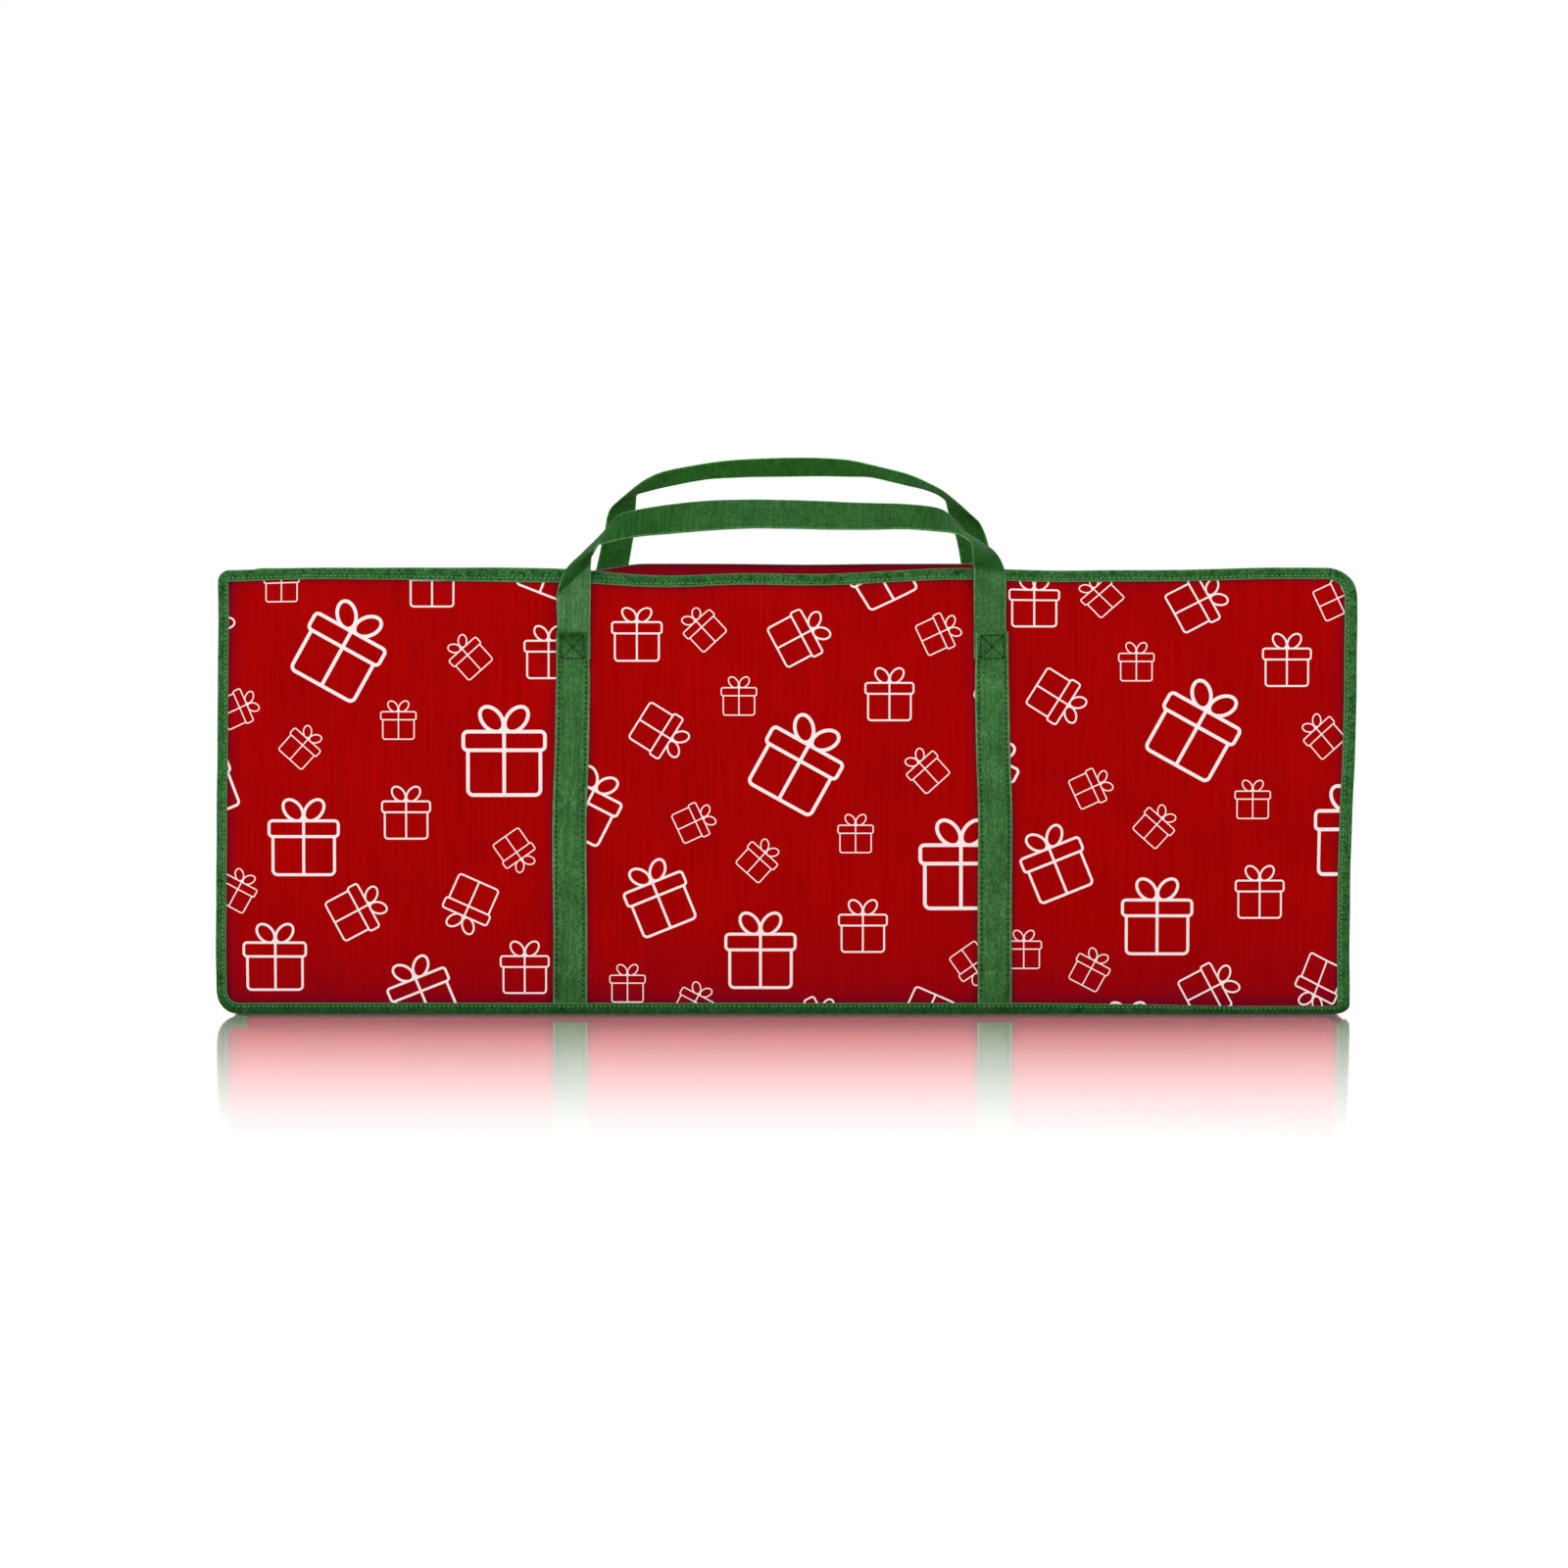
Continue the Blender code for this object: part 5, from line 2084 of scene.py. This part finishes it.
@dataclass
class ZipFittings:
    """The slider with its pull, and the stops at both ends of the zip."""

    materials: Materials
    plate: float = 0.0010
    bevel: float = 0.00025
    bridge: float = 0.0028

    def build(self) -> None:
        """Build and dress the fittings."""
        self.slider()
        self.pull()
        for side in SIDES:
            self.stop(side)

    def dress(self, mesh: PieceMesh, name: str, node: str, body: str) -> None:
        """Make a fitting's object.

        Args:
            mesh: Its mesh.
            name: Its name.
            node: The solid that it stands for.
            body: The body that it rides on.
        """
        piece = mesh.build(name, self.materials.enamel)
        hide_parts(node)
        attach(piece, body)

    def slider(self) -> None:
        """The slider: two waisted plates, the post between them and the bridge for the pull."""
        low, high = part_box("zip_slider")
        middle = (low.x + high.x) / 2
        half = (high.x - low.x) / 2
        wide = high.y
        outline = []
        waist = ((-1.0, 0.62), (-0.8, 0.78), (-0.3, 0.80), (0.2, 0.90), (0.7, 1.0), (1.0, 0.86))
        for share, girth in waist:
            outline.append((middle + half * share, -wide * girth))
        outline += [(x, -y) for x, y in reversed(outline)]
        mesh = PieceMesh()
        top_plate = high.z - self.bridge
        bevelled_plate(mesh, outline, low.z, low.z + self.plate, self.bevel)
        bevelled_plate(mesh, outline, top_plate, top_plate + self.plate, self.bevel)
        back, nose = high.x - 0.0022, high.x - 0.0004
        post = [(back, -0.0004), (nose, -0.0006), (nose, 0.0006), (back, 0.0004)]
        bevelled_plate(mesh, post, low.z + 0.0004, top_plate + 0.0003, 0.0001)
        reach = 0.0026
        arch_steps = 12
        crown = high.z - top_plate - self.plate
        base = top_plate + self.plate - 0.0004

        def arch(station: float, across: float, out: float) -> Vector:
            """A point of the bridge that arches over the top plate."""
            a = math.radians(180 * station / arch_steps)
            rise = (crown + out) * math.sin(a) ** 0.6
            return Vector((middle - (reach + out) * math.cos(a), across, base + rise))

        strip = [(-0.0008, -0.0008), (0.0008, -0.0008), (0.0008, -0.0001), (0.0005, 0.0001),
                 (-0.0005, 0.0001), (-0.0008, -0.0001)]
        mesh.swept(range(arch_steps + 1), strip, arch)
        self.dress(mesh, "slider_body", "zip_slider", "slider")

    def pull(self) -> None:
        """The pull: a bar in the slider's bridge, two arms and a waisted tab with a raised grip."""
        low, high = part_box("zip_pull")
        start, wide = low.x + 0.0005, high.y
        thin = (high.z - low.z) / 2
        middle = (high.z + low.z) / 2
        mesh = PieceMesh()
        for side in (-1, 1):
            y, half = side * 0.0020, 0.0005
            arm = [(start - half, y - half), (start + 0.0050, y - half),
                   (start + 0.0050, y + half), (start - half, y + half)]
            bevelled_plate(mesh, arm, middle - thin, middle + thin, 0.00018)

        def bar(station: float, along: float, up: float) -> Vector:
            """A point of the bar."""
            return Vector((start + along, -0.0022 + 0.0044 * station, middle + up))

        ring = [(0.00045 * math.cos(a), 0.00045 * math.sin(a)) for a in directions(10)]
        mesh.swept(range(2), ring, bar)
        tab = []
        waist = (
            (0.18, 0.92), (0.30, 0.74), (0.55, 0.78), (0.80, 1.0), (0.92, 0.94), (0.98, 0.62), (1.0, 0.25),
        )
        for share, girth in waist:
            tab.append((low.x + (high.x - low.x) * share, -wide * girth))
        tab += [(x, -y) for x, y in reversed(tab)]
        bevelled_plate(mesh, tab, middle - thin, middle + thin, 0.00022)
        grip = [
            (low.x + 0.0180 + 0.0036 * math.cos(a), 0.0013 * math.sin(a)) for a in directions(16)
        ]
        bevelled_plate(mesh, grip, middle - thin - 0.0002, middle + thin + 0.0002, 0.0002)
        self.dress(mesh, "pull_tab", "zip_pull", "pull")

    def stop(self, side: str) -> None:
        """A small clamp over both tapes.

        Args:
            side: Left or right.
        """
        low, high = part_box(f"{side}_zip_stop")
        mesh = PieceMesh()
        half_x, half_y = (high.x - low.x) / 2, (high.y - low.y) / 2
        middle = (high.x + low.x) / 2
        power = 0.5
        outline = [
            (
                middle + half_x * math.copysign(abs(math.cos(a)) ** power, math.cos(a)),
                half_y * math.copysign(abs(math.sin(a)) ** power, math.sin(a)),
            )
            for a in directions(20)
        ]
        bevelled_plate(mesh, outline, low.z - 0.0002, high.z + 0.0012, 0.0004)
        self.dress(mesh, f"{side}_stop_clamp", f"{side}_zip_stop", "bag")


@dataclass
class Studio:
    """The floor, the light and the camera of the photograph."""

    view: Viewpoint
    half_length: float
    pixel: float = 0.00072
    frame_pixels: int = 1600
    sensor: float = 36.0
    fade: float = 1.42
    fade_power: float = 1.35
    mirror: float = 0.92
    floor_drop: float = 0.0004
    floor_half: float = 14.0
    polish: Colour = (2.1, 1.6, 1.6, 1.0)
    lamp_aim: float = 0.18

    def build(self) -> None:
        """Set up the studio."""
        self.camera()
        self.floor()
        self.world()
        self.lamps()
        bpy.context.scene.view_settings.view_transform = "Standard"

    def camera(self) -> None:
        """The camera, far enough away that the bag's front shows without splay."""
        data = bpy.data.cameras.new("photo_camera")
        data.sensor_width = self.sensor
        data.lens = self.sensor * self.view.distance / (self.pixel * self.frame_pixels)
        data.clip_end = 100
        camera = add_object("photo_camera", data)
        aim(camera, self.view.eye(), self.view.target())
        bpy.context.scene.camera = camera

    def floor(self) -> None:
        """A pale floor with a polish that fades away from the bag and shows at low angles."""
        size = self.floor_half
        mesh = bpy.data.meshes.new("pale_floor")
        corners = [(-size, -size, 0.0), (size, -size, 0.0), (size, size, 0.0), (-size, size, 0.0)]
        mesh.from_pydata(corners, [], [(0, 1, 2, 3)])
        floor = add_object("pale_floor", mesh)
        floor.location.z = -self.floor_drop
        material = bpy.data.materials.new("pale_floor")
        material.use_nodes = True
        desk = NodeDesk(material.node_tree)
        desk.nodes.remove(desk.nodes["Principled BSDF"])
        seen = self.seen(desk)
        pale = desk.mix(seen, (0.70, 0.70, 0.70, 1.0), (0.75, 0.75, 0.75, 1.0))
        matt = desk.add("ShaderNodeBsdfDiffuse", {"Color": pale})
        glow = desk.add("ShaderNodeEmission", {"Color": WHITE, "Strength": 0.50})
        dark = desk.add("ShaderNodeEmission", {"Color": BLACK, "Strength": 0.0})
        lit = desk.add("ShaderNodeMixShader", {0: seen, 1: dark.outputs[0], 2: glow.outputs[0]})
        base = desk.add("ShaderNodeAddShader", {0: matt.outputs[0], 1: lit.outputs[0]})
        polish = desk.add("ShaderNodeBsdfGlossy", {"Color": self.polish, "Roughness": 0.09})
        place = desk.add("ShaderNodeSeparateXYZ", {0: desk.add("ShaderNodeTexCoord").outputs["Object"]})
        ahead = desk.maths("SUBTRACT", desk.maths("ABSOLUTE", place.outputs[1]), abs(self.view.front_y))
        beside = desk.maths("SUBTRACT", desk.maths("ABSOLUTE", place.outputs[0]), self.half_length)
        near = desk.spread(desk.maths("MAXIMUM", ahead, beside), 0.0, self.fade, 1.0, 0.0)
        share = desk.maths("MULTIPLY", desk.maths("POWER", near, self.fade_power), self.mirror)
        grazing = desk.add("ShaderNodeLayerWeight", {"Blend": 0.5}).outputs["Facing"]
        share = desk.maths("MULTIPLY", share, desk.spread(grazing, 0.75, 0.885, 0.15, 1.0))
        share = desk.maths("MULTIPLY", share, seen)
        whole = desk.add("ShaderNodeMixShader", {0: share, 1: base.outputs[0], 2: polish.outputs[0]})
        desk.links.new(whole.outputs[0], desk.nodes["Material Output"].inputs["Surface"])
        mesh.materials.append(material)

    @staticmethod
    def seen(desk: NodeDesk) -> Socket:
        """Whether a ray comes from the camera, straight or by way of the polish."""
        rays = desk.add("ShaderNodeLightPath").outputs
        return desk.maths("MAXIMUM", rays["Is Camera Ray"], rays["Is Glossy Ray"])

    def world(self) -> None:
        """Soft light from all round, seen as white."""
        world = bpy.data.worlds.new("studio")
        world.use_nodes = True
        bpy.context.scene.world = world
        desk = NodeDesk(world.node_tree)
        seen = self.seen(desk)
        strength = desk.spread(seen, 0.0, 1.0, 0.78, 1.0)
        background = desk.nodes["Background"]
        background.inputs["Color"].default_value = WHITE
        desk.links.new(strength, background.inputs["Strength"])

    def lamps(self) -> None:
        """Wide soft lamps over the front, and weaker ones over the back and the ends."""
        plans = (
            ("key_lamp", (-0.3, -1.5, 1.7), (2.6, 0.9), 17.0),
            ("back_lamp", (0.4, 1.9, 1.9), (2.4, 1.0), 14.0),
            ("left_lamp", (-2.2, -0.3, 1.3), (1.2, 1.0), 5.0),
            ("right_lamp", (2.2, 0.1, 1.3), (1.2, 1.0), 5.0),
        )
        for name, place, size, power in plans:
            data = bpy.data.lights.new(name, "AREA")
            data.shape = "RECTANGLE"
            data.size, data.size_y = size
            data.energy = power
            aim(add_object(name, data), Vector(place), Vector((0, 0, self.lamp_aim)))


FRONT_ROUTE = (
    (-168.4, 285.1, -144.1, 285.1, 64.6, 0), (-168.8, 298.1, -143.9, 305.3, 65.0, 0),
    (-169.0, 307.4, -143.7, 321.1, 66.0, 0), (-169.0, 308.4, -143.5, 331.9, 67.0, 0),
    (-168.8, 309.0, -143.4, 332.5, 67.1, 1), (-166.7, 316.7, -143.3, 334.8, 69.5, 1),
    (-163.1, 326.7, -142.8, 337.7, 72.5, 1), (-158.8, 331.9, -142.1, 340.2, 73.5, 1),
    (-150.6, 339.6, -140.8, 342.7, 73.5, 1), (-146.5, 343.8, -139.5, 345.0, 72.0, 1),
    (-142.4, 347.8, -138.2, 346.6, 70.0, 1), (-136.9, 353.4, -136.6, 346.8, 67.5, 1),
    (-131.4, 359.3, -133.9, 347.3, 64.5, 1), (-126.0, 366.2, -128.5, 348.5, 61.5, 1),
    (-119.9, 369.5, -121.3, 349.9, 59.0, 1), (-111.2, 371.5, -112.0, 351.7, 57.0, 1),
    (-83.9, 375.8, -85.3, 354.2, 54.5, 0.92), (-56.5, 378.5, -57.2, 356.5, 53.0, 0.78),
    (-28.4, 379.2, -29.2, 358.1, 52.0, 0.76), (-1.8, 378.9, -1.8, 358.0, 51.5, 0.76),
    (26.3, 378.0, 25.6, 357.4, 52.0, 0.76), (55.8, 376.8, 55.1, 357.2, 53.0, 0.78),
    (88.9, 375.7, 86.8, 357.6, 54.0, 0.88), (106.2, 374.3, 101.9, 356.8, 55.5, 1),
    (113.4, 372.6, 112.0, 355.8, 57.5, 1), (118.8, 369.4, 119.9, 355.0, 60.0, 1),
    (124.6, 363.6, 127.1, 353.2, 63.0, 1), (131.4, 355.7, 132.5, 350.3, 66.5, 1),
    (139.3, 350.6, 136.1, 347.4, 69.5, 1), (147.2, 345.7, 137.0, 342.4, 71.5, 1),
    (152.6, 341.6, 137.2, 337.7, 72.0, 1), (157.3, 335.5, 137.5, 332.6, 71.0, 1),
    (160.6, 327.2, 137.5, 330.8, 69.5, 0.95), (161.2, 324.7, 137.7, 328.3, 68.7, 0.40),
    (161.6, 315.4, 137.6, 316.8, 67.0, 0.30), (161.4, 303.8, 137.6, 303.8, 65.6, 0.30),
    (161.4, 285.1, 137.8, 285.1, 64.6, 0.30),
)
BACK_ROUTE = (
    (-147.8, 287.5, -123.6, 287.5, 64.4, 1), (-145.4, 303.1, -121.5, 303.1, 65.0, 1),
    (-142.6, 317.5, -118.8, 317.5, 65.6, 1), (-139.3, 330.5, -116.3, 330.5, 66.0, 1),
    (-136.1, 345.6, -113.8, 344.9, 66.5, 1), (-133.2, 358.6, -112.1, 357.1, 67.5, 1),
    (-132.1, 365.8, -111.7, 364.3, 69.0, 1), (-129.2, 373.0, -111.5, 370.8, 70.2, 1),
    (-122.8, 378.9, -111.2, 376.2, 71.2, 1), (-116.3, 384.3, -111.0, 380.5, 71.5, 1),
    (-109.8, 389.7, -109.8, 383.4, 69.0, 1), (-104.8, 393.3, -104.8, 384.8, 67.0, 1),
    (-99.0, 396.5, -98.3, 386.5, 65.0, 1), (-90.4, 399.6, -88.9, 388.8, 62.5, 1),
    (-76.0, 402.8, -74.5, 391.7, 59.5, 1), (-61.6, 405.4, -60.1, 394.3, 57.0, 1),
    (-35.6, 408.5, -34.2, 395.9, 54.0, 1), (-1.8, 409.7, -1.8, 396.7, 52.0, 1),
    (26.3, 409.7, 26.3, 396.7, 52.0, 1), (47.2, 408.0, 45.7, 396.7, 53.5, 1),
    (63.0, 404.6, 60.1, 396.1, 55.5, 1), (78.8, 400.6, 74.5, 393.6, 58.0, 1),
    (93.2, 396.4, 88.9, 389.9, 60.5, 1), (106.2, 390.4, 103.3, 386.3, 64.0, 1),
    (115.6, 385.3, 112.7, 382.3, 67.5, 1), (122.8, 379.8, 117.4, 378.4, 69.5, 1),
    (129.2, 374.4, 118.8, 373.0, 70.5, 1), (135.7, 368.4, 120.2, 367.2, 70.8, 1),
    (141.5, 362.9, 121.9, 361.1, 70.2, 1), (145.8, 354.6, 124.2, 353.5, 69.0, 1),
    (148.7, 344.9, 126.4, 344.2, 67.8, 1), (150.8, 335.5, 128.0, 334.8, 67.0, 1),
    (153.0, 321.1, 130.0, 320.8, 66.0, 1), (154.8, 305.3, 131.0, 305.3, 65.0, 1),
    (155.9, 287.5, 131.7, 287.5, 64.4, 1),
)

# Where the large tilted gift box falls on the three cuts of each face.
FRONT_TILES = ((-0.3266, 0.2678), (0.0090, 0.1843), (0.3006, 0.2095))
BACK_TILES = ((-0.2950, 0.2240), (-0.0160, 0.2390), (0.2860, 0.1900))


def face_shape(facing: Face) -> FaceShape:
    """A face's shape, from its solids.

    Args:
        facing: The face.

    Returns:
        The shape.
    """
    binding_low, binding_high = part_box(f"{facing.word}_binding")
    panel_low, panel_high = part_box(f"{facing.word}_panel_centre")
    straps = [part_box(f"{facing.word}_strap_{side}") for side in SIDES]
    centres = [-facing.value * (low.x + high.x) / 2 for low, high in straps]
    return FaceShape(
        facing=facing,
        half_length=binding_high.x,
        height=binding_high.z,
        front=max(abs(binding_low.y), abs(binding_high.y)),
        plane=max(abs(panel_low.y), abs(panel_high.y)),
        border=panel_low.z,
        strap_u=(min(centres), max(centres)),
        top_sags=tuple((-facing.value * u, depth, reach) for u, depth, reach in FaceShape.top_sags),
        top_drop=0.0012 if facing is Face.BACK else 0.0,
    )


def main() -> None:
    """Build the bag and its studio."""
    logging.basicConfig(level=logging.INFO, format="%(message)s")
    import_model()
    materials = Materials.make()
    view = Viewpoint(front_y=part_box("front_binding")[0].y)
    flap_low, flap_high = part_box("front_top_flap")
    tape_low, tape_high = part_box("front_zip_tape")
    end_low, end_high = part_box("right_end_panel")
    strip_low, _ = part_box("right_top_strip")
    top = TopShape(level=flap_high.z, half_depth=-flap_low.y)
    for facing, tiles, route in (
        (Face.FRONT, FRONT_TILES, FRONT_ROUTE), (Face.BACK, BACK_TILES, BACK_ROUTE),
    ):
        shape = face_shape(facing)
        PrintedFace(shape, materials, tiles).build()
        EdgeBinding(shape, materials).build()
        for side in SIDES:
            FaceStrap(shape, materials, side).build()
        lap_low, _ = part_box(f"{facing.word}_handle_lap_left")
        # The back loop gets painted light on the inside of its crown.
        under = 1.0 if facing is Face.BACK else 0.0
        CarryingLoop(facing, materials, view, route, lap_low.z, under_side=under).build()
        TopFlap(
            facing, materials, top, flap_high.x, -tape_low.y, -tape_high.y,
        ).build()
    Gusset(
        materials, top, side_x=end_high.x, corner=end_high.x - end_low.x, mouth_x=strip_low.x,
        slot_x=0.3720, slot_half=0.0012,
    ).build()
    BaseBoard(materials).build()
    ZipFittings(materials).build()
    Studio(view, half_length=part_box("front_binding")[1].x).build()


if __name__ == "__main__":
    main()
